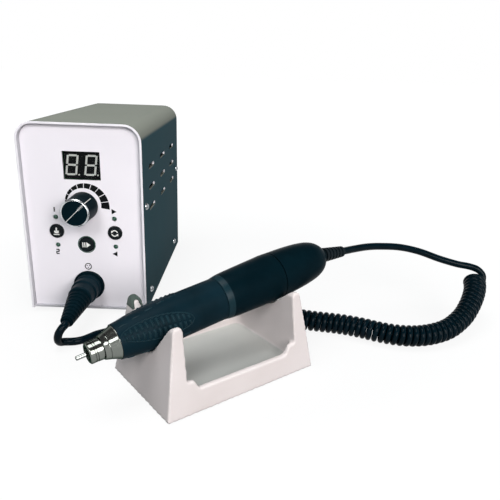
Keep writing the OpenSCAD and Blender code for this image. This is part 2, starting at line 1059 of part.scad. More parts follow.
// dark caps over the two rear prongs
module cradle_caps() {
  color("#37443f")
    stand()
      difference() {
        intersection() {
          rear_ends()
            difference() {
              polygon(concat([[skirt_u, skirt_z]], arc(prong_at, prong_r, 180 - lean, 0, 12), [[wall_u, skirt_z]]));
              neck(0);
            }
          lean_body(cradle_h + 5);
        }
        seats();
      }
}

// Handpiece, in its own frame: Z along its axis from the nose to the cord

module hand() {
  translate(hand_at)
    rotate([0, 90 - tilt, stand_yaw])
      children();
}

// a turned piece: outer profile as [z, r], and a plain bore
module turned(pts, bore) {
  z0 = pts[0][0];
  z1 = pts[len(pts) - 1][0];
  rotate_extrude()
    polygon(concat([[bore, z0]], flip(pts), [[bore, z1]]));
}

sleeve_r = 7.4;
bearing_r = 5.5;
spindle_r = 3;
sleeve_z = 12;

module nose_cone() {
  color("#c3c6c8")
    hand()
      rotate_extrude()
        polygon([
          [3.6, nose_z], [nose_r - 0.7, nose_z], [nose_r, nose_z + 0.7], [nose_r, nose_z + 5],
          [nose_r - 0.6, nose_z + 5.3], [nose_r - 0.6, nose_z + 6], [nose_r + 0.45, nose_z + 6.4],
          [nose_r + 0.45, nose_z + 10.2], [nose_r + 0.1, nose_z + 10.5], [nose_r + 0.1, nose_z + 11],
          [nose_r + 1.15, nose_z + 11.2], [grip_r - 3.4, grip_z], [sleeve_r, grip_z], [sleeve_r, sleeve_z],
          [bearing_r, sleeve_z], [bearing_r, -10], [3.6, -10]
        ]);
}

module front_grip() {
  color("#14191c")
    hand()
      difference() {
        turned(grip_pts, sleeve_r);
        translate([0, 0, sleeve_z])
          cylinder(h = 60, r = motor_r);
      }
}

module chuck_ring() {
  color("#12171a")
    hand()
      turned(ring_pts, motor_r + run);
}

module rear_cap() {
  color("#12171a")
    hand()
      difference() {
        turned(cap_pts, relief_r - 1.2);
        translate([0, 0, cap_z - 1])
          cylinder(h = motor_end - cap_z + 1, r = motor_r);
        translate([0, 0, motor_end - 0.1])
          cylinder(h = 18, r1 = 8.6, r2 = relief_r);
      }
}

motor_end = 112;

module motor_case() {
  color("#84898d")
    hand()
      rotate_extrude()
        polygon([
          [spindle_r + 0.6, sleeve_z], [motor_r, sleeve_z], [motor_r, motor_end], [can_r, motor_end],
          [can_r, sleeve_z + 2], [spindle_r + 0.6, sleeve_z + 2]
        ]);
}

module ball_bearing(r_out, r_in, h) {
  race = 0.28 * (r_out - r_in);
  rotate_extrude($fn = 96)
    polygon([
      [r_in, 0], [r_in + race, 0], [r_in + race, 0.3], [r_out - race, 0.3], [r_out - race, 0], [r_out, 0],
      [r_out, h], [r_out - race, h], [r_out - race, h - 0.3], [r_in + race, h - 0.3], [r_in + race, h],
      [r_in, h]
    ]);
}

module front_bearings() {
  color("#b5b9bc")
    hand()
      for (z = [-10, 6])
        translate([0, 0, z])
          ball_bearing(bearing_r, spindle_r + run, 4);
}

holder_z = 66;
holder_bore = 4.9;

module rear_bearing() {
  color("#b5b9bc")
    hand()
      translate([0, 0, 88])
        ball_bearing(holder_bore, spindle_r + run, 3.5);
}

module magnets() {
  color("#55585b")
    hand()
      difference() {
        translate([0, 0, 28])
          tube_z(can_r, 7.2, 36);
        for (s = [-1, 1])
          translate([s * 8 - 3, -1.5, 20])
            cube([6, 3, 60]);
      }
}

brush_z = 73;

module brush_holder() {
  color("#8a6a3c")
    hand()
      difference() {
        translate([0, 0, holder_z])
          tube_z(can_r, holder_bore, 28);
        translate([-2.1, -20, brush_z - 2.6])
          cube([4.2, 40, 5.2]);
      }
}

module brushes() {
  color("#2b2d2f")
    hand()
      for (s = [-1, 1])
        translate([-2, s * 6.6 - 2, brush_z - 2.5])
          cube([4, 4, 5]);
}

module spindle() {
  color("#cfd2d4")
    hand()
      rotate_extrude()
        polygon([
          [2, nose_z + 0.4], [2.6, nose_z + 0.4], [3.2, nose_z + 1], [3.2, -12], [spindle_r, -11.8],
          [spindle_r, 95], [0, 95], [0, 12], [2, 12]
        ]);
}

module rotor() {
  color("#6d7276")
    hand()
      translate([0, 0, 30])
        difference() {
          tube_z(6.6, spindle_r, 32);
          for (a = [0:60:300])
            rotate([0, 0, a])
              translate([4.4, -0.7, -1])
                cube([4, 1.4, 40]);
        }
}

module commutator() {
  color("#b5703a")
    hand()
      translate([0, 0, 68])
        tube_z(4.2, spindle_r, 11);
}

// a split collet round the tool shank
module collet() {
  color("#9ea3a6")
    hand()
      difference() {
        translate([0, 0, nose_z - 0.2])
          tube_z(2 - run, shank_r, 24);
        for (a = [0:120:240])
          rotate([0, 0, a])
            translate([0, -0.15, nose_z - 1])
              cube([4, 0.3, 16]);
      }
}

// a groove just behind the nose marks how far the shank goes in
shank_slack = 0.03;
groove_l = 1.2;
groove_t = 0.3;

module tool_shank() {
  color("#d6d8d9")
    hand()
      rotate_extrude()
        polygon([
          [0, nose_z - shank_out], [shank_r - 0.25, nose_z - shank_out], [shank_r, nose_z - shank_out + 0.25],
          [shank_r, nose_z - 0.4], [shank_r - groove_t, nose_z - 0.3],
          [shank_r - groove_t, nose_z - 0.3 + groove_l], [shank_r - shank_slack, nose_z + groove_l],
          [shank_r - shank_slack, -8], [0, -8]
        ]);
}

relief_droop = 10;
relief_l = 23;
relief_z = 135.6;
relief_r = 4.9;

module strain_relief() {
  color("#15191c")
    hand()
      translate([0, 0, relief_z])
        rotate([0, relief_droop, 0])
          ribbed_boot(relief_l, relief_r, 3.9, 6);
}

relief_dir = [
  cos(tilt - relief_droop) * cos(stand_yaw),
  cos(tilt - relief_droop) * sin(stand_yaw),
  sin(tilt - relief_droop)
];
relief_end = hand_at + relief_z * hand_dir + relief_l * relief_dir;

// Cord: a lead from the plug, the curls on the floor, and a lead up to the handpiece

lead_r = lead_d / 2;
cord_z = lead_r + 0.1;
curls = 53.25;
curl_z = cord_z + curl_r;
curl_steps = 8;
curl_from = -90;

// the curls' middle line: along the floor, then up where the lead lifts it
curl_route = [
  [107, -78, curl_z], [120, -81, curl_z], [132, -86, curl_z], [145, -91.5, curl_z], [158, -95.5, curl_z],
  [180, -99.5, curl_z], [194, -104, curl_z], [206, -109.5, curl_z], [219, -113, curl_z], [232.5, -112.5, curl_z],
  [245, -108.5, curl_z + 0.5], [256, -102.5, curl_z + 2], [267, -93, curl_z + 5.5], [274, -84.5, curl_z + 9.5],
  [279.5, -76, curl_z + 13.5], [284, -66.5, curl_z + 17], [286.5, -57.5, curl_z + 19.5]
];
curl_line = spline(curl_route, 8);
curl_len = [for (i = 0, s = 0; i < len(curl_line);
  s = s + (i + 1 < len(curl_line) ? norm(curl_line[i + 1] - curl_line[i]) : 0), i = i + 1) s];
curl_x = [for (i = [0:len(curl_line) - 1]) [curl_len[i], curl_line[i][0]]];
curl_y = [for (i = [0:len(curl_line) - 1]) [curl_len[i], curl_line[i][1]]];
curl_h = [for (i = [0:len(curl_line) - 1]) [curl_len[i], curl_line[i][2]]];
run_len = curl_len[len(curl_line) - 1];
function mid(s) = [lookup(s, curl_x), lookup(s, curl_y), lookup(s, curl_h)];
function heading(s) = unit(mid(min(s + 2, run_len)) - mid(max(s - 2, 0)));
function side_way(s) = unit(cross(heading(s), [0, 0, 1]));
function up_way(s) = cross(side_way(s), heading(s));
// the last curls are wider
function wide(s) = curl_r * (1 + 0.16 * pow(max(0, s / run_len - 0.7) / 0.3, 2));
function curl_at(s) =
  let (a = curl_from + 360 * curls * s / run_len)
    mid(s) + wide(s) * (cos(a) * side_way(s) + sin(a) * up_way(s));

ring_count = round(curls * curl_steps);
curl_path = [for (i = [0:ring_count]) curl_at(run_len * i / ring_count)];
first_dir = unit(side_way(0) + 0.12 * heading(0));
end_angle = curl_from + 360 * curls;
last_dir = unit(cos(end_angle) * up_way(run_len) - sin(end_angle) * side_way(run_len) + 0.12 * heading(run_len));
curl_start = curl_path[0] - 1.6 * curl_cord_d * first_dir;
curl_end = curl_path[ring_count] + 0.6 * curl_cord_d * last_dir;
curl_pts = concat([curl_start], curl_path, [curl_end]);

// least gap between the surfaces of one curl and the next ones
near = curl_steps / 2;
least_gap = min([for (i = [0:len(curl_pts) - 1])
  min([for (j = [i + near:min(i + 3 * curl_steps, len(curl_pts) + near - 1)])
    j < len(curl_pts) ? norm(curl_pts[i] - curl_pts[j]) : 99])]) - curl_cord_d;
echo(least_gap = least_gap, curl_pitch = run_len / curls);

// a round tube along points, in triangles; rad holds one radius a point
function tangents(p) = [for (i = [0:len(p) - 1]) unit(p[min(i + 1, len(p) - 1)] - p[max(i - 1, 0)])];
function square_to(v, t) = unit(v - (v * t) * t);
function sides_of(t) = [for (i = 0, n = square_to([0.1, 0.2, 1], t[0]); i < len(t);
  n = i + 1 < len(t) ? square_to(n, t[i + 1]) : n, i = i + 1) n];

module tube(p, rad, sides) {
  t = tangents(p);
  n = sides_of(t);
  last = (len(p) - 1) * sides;
  points = [for (i = [0:len(p) - 1], k = [0:sides - 1])
    p[i] + rad[i] * (cos(360 * k / sides) * n[i] + sin(360 * k / sides) * cross(t[i], n[i]))];
  walls = [for (i = [0:len(p) - 2], k = [0:sides - 1], half = [0, 1])
    let (a = i * sides + k, b = i * sides + (k + 1) % sides)
      half == 0 ? [a, a + sides, b + sides] : [a, b + sides, b]];
  caps = [for (k = [1:sides - 2], end = [0, 1]) end == 0 ? [0, k, k + 1] : [last, last + k + 1, last + k]];
  polyhedron(points, concat(walls, caps));
}

// a lead thins towards the curls over its last points
function thinning(count, from, to, n) = [for (i = [0:count - 1]) i < count - n ? from
  : from + (to - from) * (i - count + n + 1) / n];

plug_route = concat(
  [boot_end, boot_end + 0.5 * lead_d * boot_dir],
  spline([
    boot_end + [-1.5, -4.5, -1.9], boot_end + [-3.3, -6, -5.2], boot_end + [-4.4, -5, -9.6],
    [-4.2, boot_end[1] - 2.2, cord_z + 0.9], [-2.2, boot_end[1], cord_z], [1.5, boot_end[1] + 0.4, cord_z],
    [5, -127.4, cord_z], [9, -125, cord_z], [12.5, -121, cord_z], [17, -116, cord_z], [30, -108, cord_z],
    [45, -103, cord_z], [60, -99, cord_z], [76, -86, cord_z], [90, -71, cord_z], [98, -65.5, cord_z],
    [104.5, -65.5, cord_z], curl_start - 1.6 * lead_d * first_dir
  ], 2),
  [curl_start]
);

hand_route = concat(
  [relief_end + gap * relief_dir, relief_end + (gap + lead_d) * relief_dir],
  spline([
    relief_end + (gap + 2.4 * lead_d) * relief_dir, [200, -68, 54.8], [211, -63, 54], [227, -57.5, 52],
    [243, -54, 48], [259, -53, 42.5], [273, -53, 38.8], [282, -54, 37.6], [288, -55.6, 36],
    [291.8, -57.6, 32.8]
  ], 2),
  [curl_end]
);

module plug_lead() {
  color("#0e1417")
    tube(plug_route, thinning(len(plug_route), lead_r, curl_cord_d / 2, 3), 8);
}

module curly_cord() {
  color("#0e1417")
    tube(curl_pts, [for (q = curl_pts) curl_cord_d / 2], 6);
}

module handpiece_lead() {
  color("#0e1417")
    tube(hand_route, thinning(len(hand_route), lead_r, curl_cord_d / 2, 3), 8);
}

top_cover();
base_tray();
front_panel();
rear_panel();
cover_screws();
rubber_feet();
display_window();
display_module();
main_board();
board_posts();
board_screws();
speed_pot();
pot_nut();
pot_shaft();
speed_knob();
knob_pointer();
indicator_lamps();
key_switches();
mode_key();
turn_key();
run_key();
motor_socket();
socket_nut();
socket_pins();
motor_plug();
plug_boot();
transformer_core();
transformer_winding();
power_board();
capacitors();
heat_sink();
mains_inlet();
inlet_pins();
inlet_screws();
rocker_frame();
power_rocker();
fuse_holder();
foot_jack();
jack_nut();
cradle();
cradle_caps();
nose_cone();
front_grip();
chuck_ring();
rear_cap();
motor_case();
front_bearings();
rear_bearing();
magnets();
brush_holder();
brushes();
spindle();
rotor();
commutator();
collet();
tool_shank();
strain_relief();
plug_lead();
curly_cord();
handpiece_lead();
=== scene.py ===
# %% [markdown]
# A micromotor set: an upright control box, a motor handpiece that lies in a moulded cradle, and the
# curly cord between them. The construction model already has every piece in its place, so this
# lesson loads it as a fixed frame, dresses what shows, and photographs it the way the picture does.

# %% Load the frame
import math

import bmesh
import bpy
import numpy as np
from mathutils import Matrix, Vector


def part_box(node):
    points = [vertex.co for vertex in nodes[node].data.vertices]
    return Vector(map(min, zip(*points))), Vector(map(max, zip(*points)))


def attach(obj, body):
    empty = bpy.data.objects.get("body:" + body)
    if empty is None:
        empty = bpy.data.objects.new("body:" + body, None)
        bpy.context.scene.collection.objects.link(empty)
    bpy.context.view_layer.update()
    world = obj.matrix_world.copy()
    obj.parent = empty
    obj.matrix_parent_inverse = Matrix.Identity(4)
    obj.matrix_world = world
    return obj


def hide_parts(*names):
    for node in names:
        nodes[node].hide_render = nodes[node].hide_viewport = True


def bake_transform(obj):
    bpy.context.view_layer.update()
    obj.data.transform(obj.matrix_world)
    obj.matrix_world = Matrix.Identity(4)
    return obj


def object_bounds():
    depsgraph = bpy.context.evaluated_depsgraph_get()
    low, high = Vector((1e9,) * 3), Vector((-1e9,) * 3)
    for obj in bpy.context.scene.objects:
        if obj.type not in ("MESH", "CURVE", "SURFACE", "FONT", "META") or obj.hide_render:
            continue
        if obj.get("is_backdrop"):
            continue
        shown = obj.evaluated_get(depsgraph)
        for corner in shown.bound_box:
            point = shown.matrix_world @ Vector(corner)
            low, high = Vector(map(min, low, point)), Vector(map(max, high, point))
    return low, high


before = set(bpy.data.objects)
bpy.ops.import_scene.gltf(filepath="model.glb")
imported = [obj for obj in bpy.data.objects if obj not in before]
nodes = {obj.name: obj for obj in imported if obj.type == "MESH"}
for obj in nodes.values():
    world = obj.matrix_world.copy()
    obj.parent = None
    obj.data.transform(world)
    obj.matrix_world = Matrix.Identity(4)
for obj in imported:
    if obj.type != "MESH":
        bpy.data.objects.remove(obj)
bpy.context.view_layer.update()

MM = 0.001
scene = bpy.context.scene

# %% [markdown]
# The camera stands a little to the right of the box and looks down at it. Its place was fitted to the
# box's edges in the photograph, with the display's known size for scale, so it is written as a place
# and three angles. The lens follows from the focal length in pixels on a 500 pixel frame.

# %% Camera
frame_px = 500
focal_px = 536.8
camera_at = Vector((117.0, -436.3, 178.3)) * MM
pitch, yaw, roll = (math.radians(a) for a in (19.32, -0.17, 2.04))

look = Vector((math.sin(yaw) * math.cos(pitch), math.cos(yaw) * math.cos(pitch), -math.sin(pitch)))
level = Vector((math.cos(yaw), -math.sin(yaw), 0))
upward = level.cross(look)
right = math.cos(roll) * level + math.sin(roll) * upward
upward = right.cross(look)

camera = bpy.data.objects.new("camera", bpy.data.cameras.new("camera"))
scene.collection.objects.link(camera)
camera.data.sensor_width = 36
camera.data.lens = 36 * focal_px / frame_px
camera.data.clip_start, camera.data.clip_end = 0.01, 20
camera.matrix_world = Matrix((
    (right.x, upward.x, -look.x, camera_at.x),
    (right.y, upward.y, -look.y, camera_at.y),
    (right.z, upward.z, -look.z, camera_at.z),
    (0, 0, 0, 1),
))
scene.camera = camera
print("camera lens:", round(camera.data.lens, 2), "mm")

# %% [markdown]
# Every colour here is written as an sRGB hex value, as a paint maker would give it, and one function
# turns it to the linear numbers that the shaders use. One more function adds a shader node, sets its
# values and joins its inputs, so that each material below reads as a short list.


# %% Colour and node helpers
def linear(hex_code):
    channels = [int(hex_code[i:i + 2], 16) / 255 for i in (1, 3, 5)]
    return [c / 12.92 if c <= 0.04045 else ((c + 0.055) / 1.055) ** 2.4 for c in channels] + [1.0]


def add(tree, kind, inputs=(), **settings):
    made = tree.nodes.new(kind)
    for name, value in settings.items():
        setattr(made, name, value)
    for name, value in dict(inputs).items():
        if isinstance(value, bpy.types.NodeSocket):
            tree.links.new(value, made.inputs[name])
        else:
            made.inputs[name].default_value = value
    return made


def start(name, hex_code, roughness, **values):
    material = bpy.data.materials.new(name)
    material.use_nodes = True
    tree = material.node_tree
    shader = tree.nodes["Principled BSDF"]
    shader.inputs["Base Color"].default_value = linear(hex_code)
    shader.inputs["Roughness"].default_value = roughness
    for socket, value in values.items():
        shader.inputs[socket.replace("_", " ")].default_value = value
    return material, tree, shader


def per_metre(size_mm):
    return 1 / (size_mm * MM)


# %% [markdown]
# Cord: a straight lead from the plug, a curly part, and a straight lead to the handpiece. A bezier with a
# round bevel would do for the leads, but the curls are a helix round a bent line, so a tube is swept along
# computed points. The points repeat those of the construction model, so that the cord lies where its
# solids are. First come the two places that it joins: the plug's boot and the handpiece's strain relief.

# %% Places that the cord joins
# control box and plug
face_y = -77.0
socket_z = 21.0
plug_end = 22.0
plug_droop = math.radians(8.6)
boot_length = 30.0
boot_way = np.array([0, -math.cos(plug_droop), -math.sin(plug_droop)])
boot_end = np.array([0, face_y - plug_end, socket_z]) + boot_length * boot_way

# cradle and handpiece axis
stand_at = np.array([77.4, -205.5, 0])
stand_yaw = math.radians(38.3)
tilt = math.radians(7.6)
cradle_width = 66.0
axis_z = 38.7
cap_end = 135.6
relief_length = 23.0
relief_tilt = tilt - math.radians(10)
along = np.array([math.cos(stand_yaw), math.sin(stand_yaw), 0])
across = np.array([-math.sin(stand_yaw), math.cos(stand_yaw), 0])
hand_at = stand_at + across * cradle_width / 2 + np.array([0, 0, axis_z])
hand_way = along * math.cos(tilt) + np.array([0, 0, math.sin(tilt)])
relief_way = along * math.cos(relief_tilt) + np.array([0, 0, math.sin(relief_tilt)])
relief_end = hand_at + cap_end * hand_way + relief_length * relief_way
print("boot ends at", boot_end.round(1), "and strain relief at", relief_end.round(1), "mm")

# %% [markdown]
# Curls: on the real cord the sheath was wound on a rod and set by heat. The rod's line is drawn through a
# few points on the table, and a helix runs round it: a place along the line, a turn that grows with it, and
# a radius that opens a little towards the handpiece, where the cord's own weight pulls on the curls.

# %% Curls
# thickness of the leads and of the curls, and the helix that the curls follow
lead_d = 5.2
curl_d = 3.8
curl_r = 5.4
curls = 53.25
flare, flare_from, flare_over = 0.16, 0.7, 0.3
cord_z = lead_d / 2 + 0.1
curl_z = cord_z + curl_r
up = np.array([0, 0, 1.0])


def smooth(points, steps):
    p = [np.array(q, float) for q in points]
    out = []
    for i in range(len(p) - 1):
        a, b, c, d = p[max(i - 1, 0)], p[i], p[i + 1], p[min(i + 2, len(p) - 1)]
        for t in np.arange(steps) / steps:
            out.append(0.5 * (2 * b + (c - a) * t + (2 * a - 5 * b + 4 * c - d) * t ** 2
                              + (3 * b - a - 3 * c + d) * t ** 3))
    return np.array(out + [p[-1]])


curl_route = [
    (107, -78, 0), (120, -81, 0), (132, -86, 0), (145, -91.5, 0), (158, -95.5, 0), (180, -99.5, 0),
    (194, -104, 0), (206, -109.5, 0), (219, -113, 0), (232.5, -112.5, 0), (245, -108.5, 0.5),
    (256, -102.5, 2), (267, -93, 5.5), (274, -84.5, 9.5), (279.5, -76, 13.5), (284, -66.5, 17),
    (286.5, -57.5, 19.5),
]
line = smooth(curl_route, 8) + curl_z * up
run = np.concatenate([[0], np.cumsum(np.linalg.norm(np.diff(line, axis=0), axis=1))])
run_length = run[-1]


def unit(v):
    return v / np.linalg.norm(v)


def middle(s):
    return np.array([np.interp(s, run, line[:, i]) for i in range(3)])


def heading(s):
    return unit(middle(min(s + 2, run_length)) - middle(max(s - 2, 0)))


def curl_frame(s):
    side = unit(np.cross(heading(s), up))
    return side, np.cross(side, heading(s))


def curl_at(s):
    turn = math.radians(-90 + 360 * curls * s / run_length)
    side, top = curl_frame(s)
    wide = curl_r * (1 + flare * (max(0, s / run_length - flare_from) / flare_over) ** 2)
    return middle(s) + wide * (math.cos(turn) * side + math.sin(turn) * top)


curl_steps = 20
curl_path = [curl_at(s) for s in np.linspace(0, run_length, round(curls * curl_steps) + 1)]
print("curl pitch:", round(run_length / curls, 2), "mm, points:", len(curl_path))

# %% [markdown]
# Leads: each one leaves its fitting straight, sags under its weight, and runs into the curls in the direction
# in which they start. Smooth curves through given points do this, and a tube of twelve sides is swept along
# them and along the curls.

# %% Leads
# how far the cord's ends lean along the line of the curls, and how far they reach past the first and last
curl_lean = 0.12
start_reach, end_reach = 4.6, 1.7
first_way = unit(curl_frame(0)[0] + curl_lean * heading(0))
last_way = unit(curl_frame(run_length)[1] + curl_lean * heading(run_length))
curl_start = curl_path[0] - start_reach * first_way
curl_end = curl_path[-1] + end_reach * last_way

y = boot_end[1]
plug_route = smooth([
    boot_end, boot_end + 0.5 * lead_d * boot_way, boot_end + (-1.5, -4.5, -1.9),
    boot_end + (-3.3, -6, -5.2), boot_end + (-4.4, -5, -9.6), (-4.2, y - 2.2, cord_z + 0.9),
    (-2.2, y, cord_z), (1.5, y + 0.4, cord_z),
    (5, -127.4, cord_z), (9, -125, cord_z), (12.5, -121, cord_z), (17, -116, cord_z), (30, -108, cord_z),
    (45, -103, cord_z), (60, -99, cord_z), (76, -86, cord_z), (90, -71, cord_z), (98, -65.5, cord_z),
    (104.5, -65.5, cord_z), curl_start - 1.6 * lead_d * first_way, curl_start,
], 6)
hand_route = smooth([
    relief_end, relief_end + lead_d * relief_way, relief_end + 2.4 * lead_d * relief_way,
    (200, -68, 54.8), (211, -63, 54), (227, -57.5, 52), (243, -54, 48), (259, -53, 42.5),
    (273, -53, 38.8), (282, -54, 37.6), (288, -55.6, 36), (291.8, -57.6, 32.8), curl_end,
], 6)
cord_path = np.concatenate([plug_route, curl_path, [curl_end]]) * MM
lead_path = hand_route[::-1] * MM


def length_of(path):
    return float(np.linalg.norm(np.diff(path, axis=0), axis=1).sum())


print("lengths:", round(length_of(cord_path), 3), "m to the end of the curls and",
      round(length_of(lead_path), 3), "m from there to the handpiece")


# %% Cord tube
def tube(name, path, radii, sides):
    ways = np.gradient(path, axis=0)
    ways /= np.linalg.norm(ways, axis=1)[:, None]
    side = np.cross(ways[0], (0.3, 0.2, 1))
    rings = []
    for at, way, radius in zip(path, ways, radii):
        side = side - way * side.dot(way)
        side /= np.linalg.norm(side)
        other = np.cross(way, side)
        rings.append([at + radius * (math.cos(a) * side + math.sin(a) * other)
                      for a in np.arange(sides) * 2 * math.pi / sides])
    count = len(path)
    faces = [(i * sides + k, i * sides + (k + 1) % sides,
              (i + 1) * sides + (k + 1) % sides, (i + 1) * sides + k)
             for i in range(count - 1) for k in range(sides)]
    faces += [tuple(reversed(range(sides))), tuple(range((count - 1) * sides, count * sides))]
    mesh = bpy.data.meshes.new(name)
    mesh.from_pydata(np.array(rings).reshape(-1, 3).tolist(), [], faces)
    mesh.polygons.foreach_set("use_smooth", [True] * (len(faces) - 2) + [False] * 2)
    made = bpy.data.objects.new(name, mesh)
    scene.collection.objects.link(made)
    return made


# each lead narrows to the thickness of the curls over its last few points
ease = 14
cord_sides = 12
plug_radii = np.full(len(plug_route), lead_d / 2)
hand_radii = np.full(len(hand_route), lead_d / 2)
plug_radii[-ease:] = np.linspace(lead_d / 2, curl_d / 2, ease)
hand_radii[-ease:] = np.linspace(lead_d / 2, curl_d / 2, ease)
curl_radii = np.full(len(curl_path) + 1, curl_d / 2)
cord = tube("cord", cord_path, np.append(plug_radii, curl_radii) * MM, cord_sides)
hand_lead = tube("hand_lead", lead_path, hand_radii[::-1] * MM, cord_sides)
print("cord faces:", len(cord.data.polygons), "and", len(hand_lead.data.polygons))

# %% [markdown]
# Most surfaces here are moulded plastic, rubber or coated sheet, and all of them have two things that
# a flat colour lacks: a fine skin, such as moulding grain or the orange peel of a coat, and slow drifts
# of tone and gloss over centimetres. One function makes a material with both, at sizes in millimetres,
# and a second one tints such a material where a mask says so.

# %% Skin of moulded and coated surfaces
# the part of a noise's values that nearly all of a surface falls in
patch_range = 0.3, 0.7


def skinned(name, hex_code, roughness, grain_mm, depth_mm, tones, gloss, patch_mm, **values):
    material, tree, shader = start(name, hex_code, roughness, **values)
    where = add(tree, "ShaderNodeTexCoord").outputs["Object"]
    grain = add(tree, "ShaderNodeTexNoise", {"Vector": where, "Scale": per_metre(grain_mm), "Detail": 2.0})
    bump = add(tree, "ShaderNodeBump", {"Height": grain.outputs["Fac"], "Distance": depth_mm * MM})
    patch = add(tree, "ShaderNodeTexNoise", {"Vector": where, "Scale": per_metre(patch_mm), "Detail": 4.0})
    tone = add(tree, "ShaderNodeValToRGB", {"Fac": patch.outputs["Fac"]})
    for stop, at, tone_hex in zip(tone.color_ramp.elements, patch_range, tones):
        stop.position, stop.color = at, linear(tone_hex)
    rough = add(tree, "ShaderNodeMapRange",
                {"Value": patch.outputs["Fac"], "From Min": patch_range[0], "From Max": patch_range[1],
                 "To Min": gloss[0], "To Max": gloss[1]})
    tree.links.new(tone.outputs["Color"], shader.inputs["Base Color"])
    tree.links.new(rough.outputs["Result"], shader.inputs["Roughness"])
    tree.links.new(bump.outputs["Normal"], shader.inputs["Normal"])
    return material


def tint(tree, share, hex_code):
    shader = tree.nodes["Principled BSDF"]
    tone = shader.inputs["Base Color"].links[0].from_socket
    mixed = add(tree, "ShaderNodeMix", {"Factor": share}, data_type="RGBA")
    tree.links.new(tone, mixed.inputs["A"])
    mixed.inputs["B"].default_value = linear(hex_code)
    tree.links.new(mixed.outputs["Result"], shader.inputs["Base Color"])


# %% [markdown]
# Coats and plastics: the box is powder-coated and enamelled sheet, the cradle and the handpiece are ABS
# from tools of different polish, and the cord is PVC. What tells them apart to the eye is less their colour
# than how wide and how strong the highlights are, so each has its own roughness, reflection and grain.

# %% Coats on the box
# powder coat, sprayed and baked: a fine orange peel breaks up its soft reflections; faces that point up are
# painted from the slate colour of the sides to a paler stone grey, a painted light for the light that falls on
# the top
powder_coat = skinned("powder_coat_slate", "#2d4951", 0.6, Specular_IOR_Level=0.01,
    grain_mm=0.9, depth_mm=0.02, tones=("#29454d", "#314d55"), gloss=(0.56, 0.64), patch_mm=60)
tree = powder_coat.node_tree
normal = add(tree, "ShaderNodeNewGeometry").outputs["Normal"]
facing = add(tree, "ShaderNodeSeparateXYZ", {"Vector": normal})
painted_top_light = add(tree, "ShaderNodeMapRange", {"Value": facing.outputs["Z"], "From Min": 0.08, "From Max": 0.32,
                                         "To Max": 1.0}, interpolation_type="SMOOTHSTEP")
tint(tree, painted_top_light.outputs["Result"], "#84877e")

# enamel, sprayed smooth: nearly white with a trace of lilac, and a faint gloss
enamel = skinned("sprayed_enamel_white", "#f3eff5", 0.38, Specular_IOR_Level=0.3,
    grain_mm=1.6, depth_mm=0.006, tones=("#f0ecf2", "#f6f2f8"), gloss=(0.34, 0.42), patch_mm=70)

print("coats:", powder_coat.name, enamel.name)

# %% Moulded plastics
# ABS, moulded in a fine-sparked tool: ivory with a warm cast, matt to the eye; faces low in the tray that
# point up are painted grey, a painted shade for the shadow that falls on the floor of the tray
ivory_abs = skinned("moulded_abs_ivory", "#dad1d0", 0.5, Specular_IOR_Level=0.15,
    grain_mm=0.7, depth_mm=0.012, tones=("#d6cdcb", "#ded6d5"), gloss=(0.46, 0.56), patch_mm=40)
tree = ivory_abs.node_tree
normal = add(tree, "ShaderNodeNewGeometry").outputs["Normal"]
facing = add(tree, "ShaderNodeSeparateXYZ", {"Vector": normal})
level = add(tree, "ShaderNodeMapRange", {"Value": facing.outputs["Z"], "From Min": 0.3, "From Max": 0.8})
where = add(tree, "ShaderNodeTexCoord").outputs["Object"]
height = add(tree, "ShaderNodeSeparateXYZ", {"Vector": where})
low = add(tree, "ShaderNodeMapRange",
          {"Value": height.outputs["Z"], "From Min": 12 * MM, "From Max": 9 * MM})
tray_floor_painted_shade = add(tree, "ShaderNodeMath", {0: level.outputs["Result"], 1: low.outputs["Result"]},
             operation="MULTIPLY")
tint(tree, tray_floor_painted_shade.outputs["Value"], "#b8b9b5")

# ABS, moulded and lightly grained: black with soft, wide highlights
satin_abs = skinned("moulded_abs_satin_black", "#0a1e26", 0.4, Specular_IOR_Level=0.03,
    grain_mm=0.5, depth_mm=0.008, tones=("#091b22", "#0c222b"), gloss=(0.36, 0.46), patch_mm=18)

# the same ABS from a smoother tool, for the twist ring, rear cap, knob, socket and boot: deeper black, with
# tighter highlights
smooth_abs = skinned("moulded_abs_smooth_black", "#05151c", 0.32, Specular_IOR_Level=0.014,
    grain_mm=0.9, depth_mm=0.004, tones=("#041319", "#061920"), gloss=(0.28, 0.38), patch_mm=18)

# the same plastic where fingers rub it, a little glossier; its paler colour is a painted highlight
rubbed_abs_painted_highlight = skinned("moulded_abs_rubbed_painted_highlight", "#102830", 0.32, Specular_IOR_Level=0.08,
    grain_mm=0.8, depth_mm=0.004, tones=("#0e242b", "#132c34"), gloss=(0.28, 0.38), patch_mm=10)

# ABS from a polished tool: black with sharp highlights
gloss_abs = skinned("moulded_abs_gloss_black", "#030a0d", 0.25, Specular_IOR_Level=0.12,
    grain_mm=2.5, depth_mm=0.004, tones=("#030a0e", "#060f13"), gloss=(0.2, 0.32), patch_mm=12)

print("plastics:", [m.name for m in (ivory_abs, satin_abs, smooth_abs, rubbed_abs_painted_highlight, gloss_abs)])

# %% Sheath, rubber, primer and ink
# PVC sheath, extruded: black and a little waxy, dulled by handling
pvc = skinned("extruded_pvc_black", "#03121a", 0.14, Specular_IOR_Level=0.05,
    grain_mm=1.2, depth_mm=0.006, tones=("#021016", "#04151d"), gloss=(0.11, 0.18), patch_mm=8)

# rubber, moulded: dark and dry, with bloom that shows as paler patches; the caps on the tops of the cradle's
# rear prongs are dark grey-green
rubber = skinned("moulded_rubber_black", "#061218", 0.5, Specular_IOR_Level=0.12,
    grain_mm=0.6, depth_mm=0.02, tones=("#050f14", "#09161c"), gloss=(0.48, 0.62), patch_mm=9)
cap_rubber = skinned("prong_caps_grey_green", "#3b4a46", 0.6,
    grain_mm=0.6, depth_mm=0.015, tones=("#36453f", "#42514b"), gloss=(0.52, 0.66), patch_mm=9)

# sheet steel, dipped in plain grey primer: dull and nearly even
primer = skinned("dipped_primer_grey", "#7d7f80", 0.55,
    grain_mm=1.0, depth_mm=0.012, tones=("#787a7b", "#838586"), gloss=(0.5, 0.6), patch_mm=45)

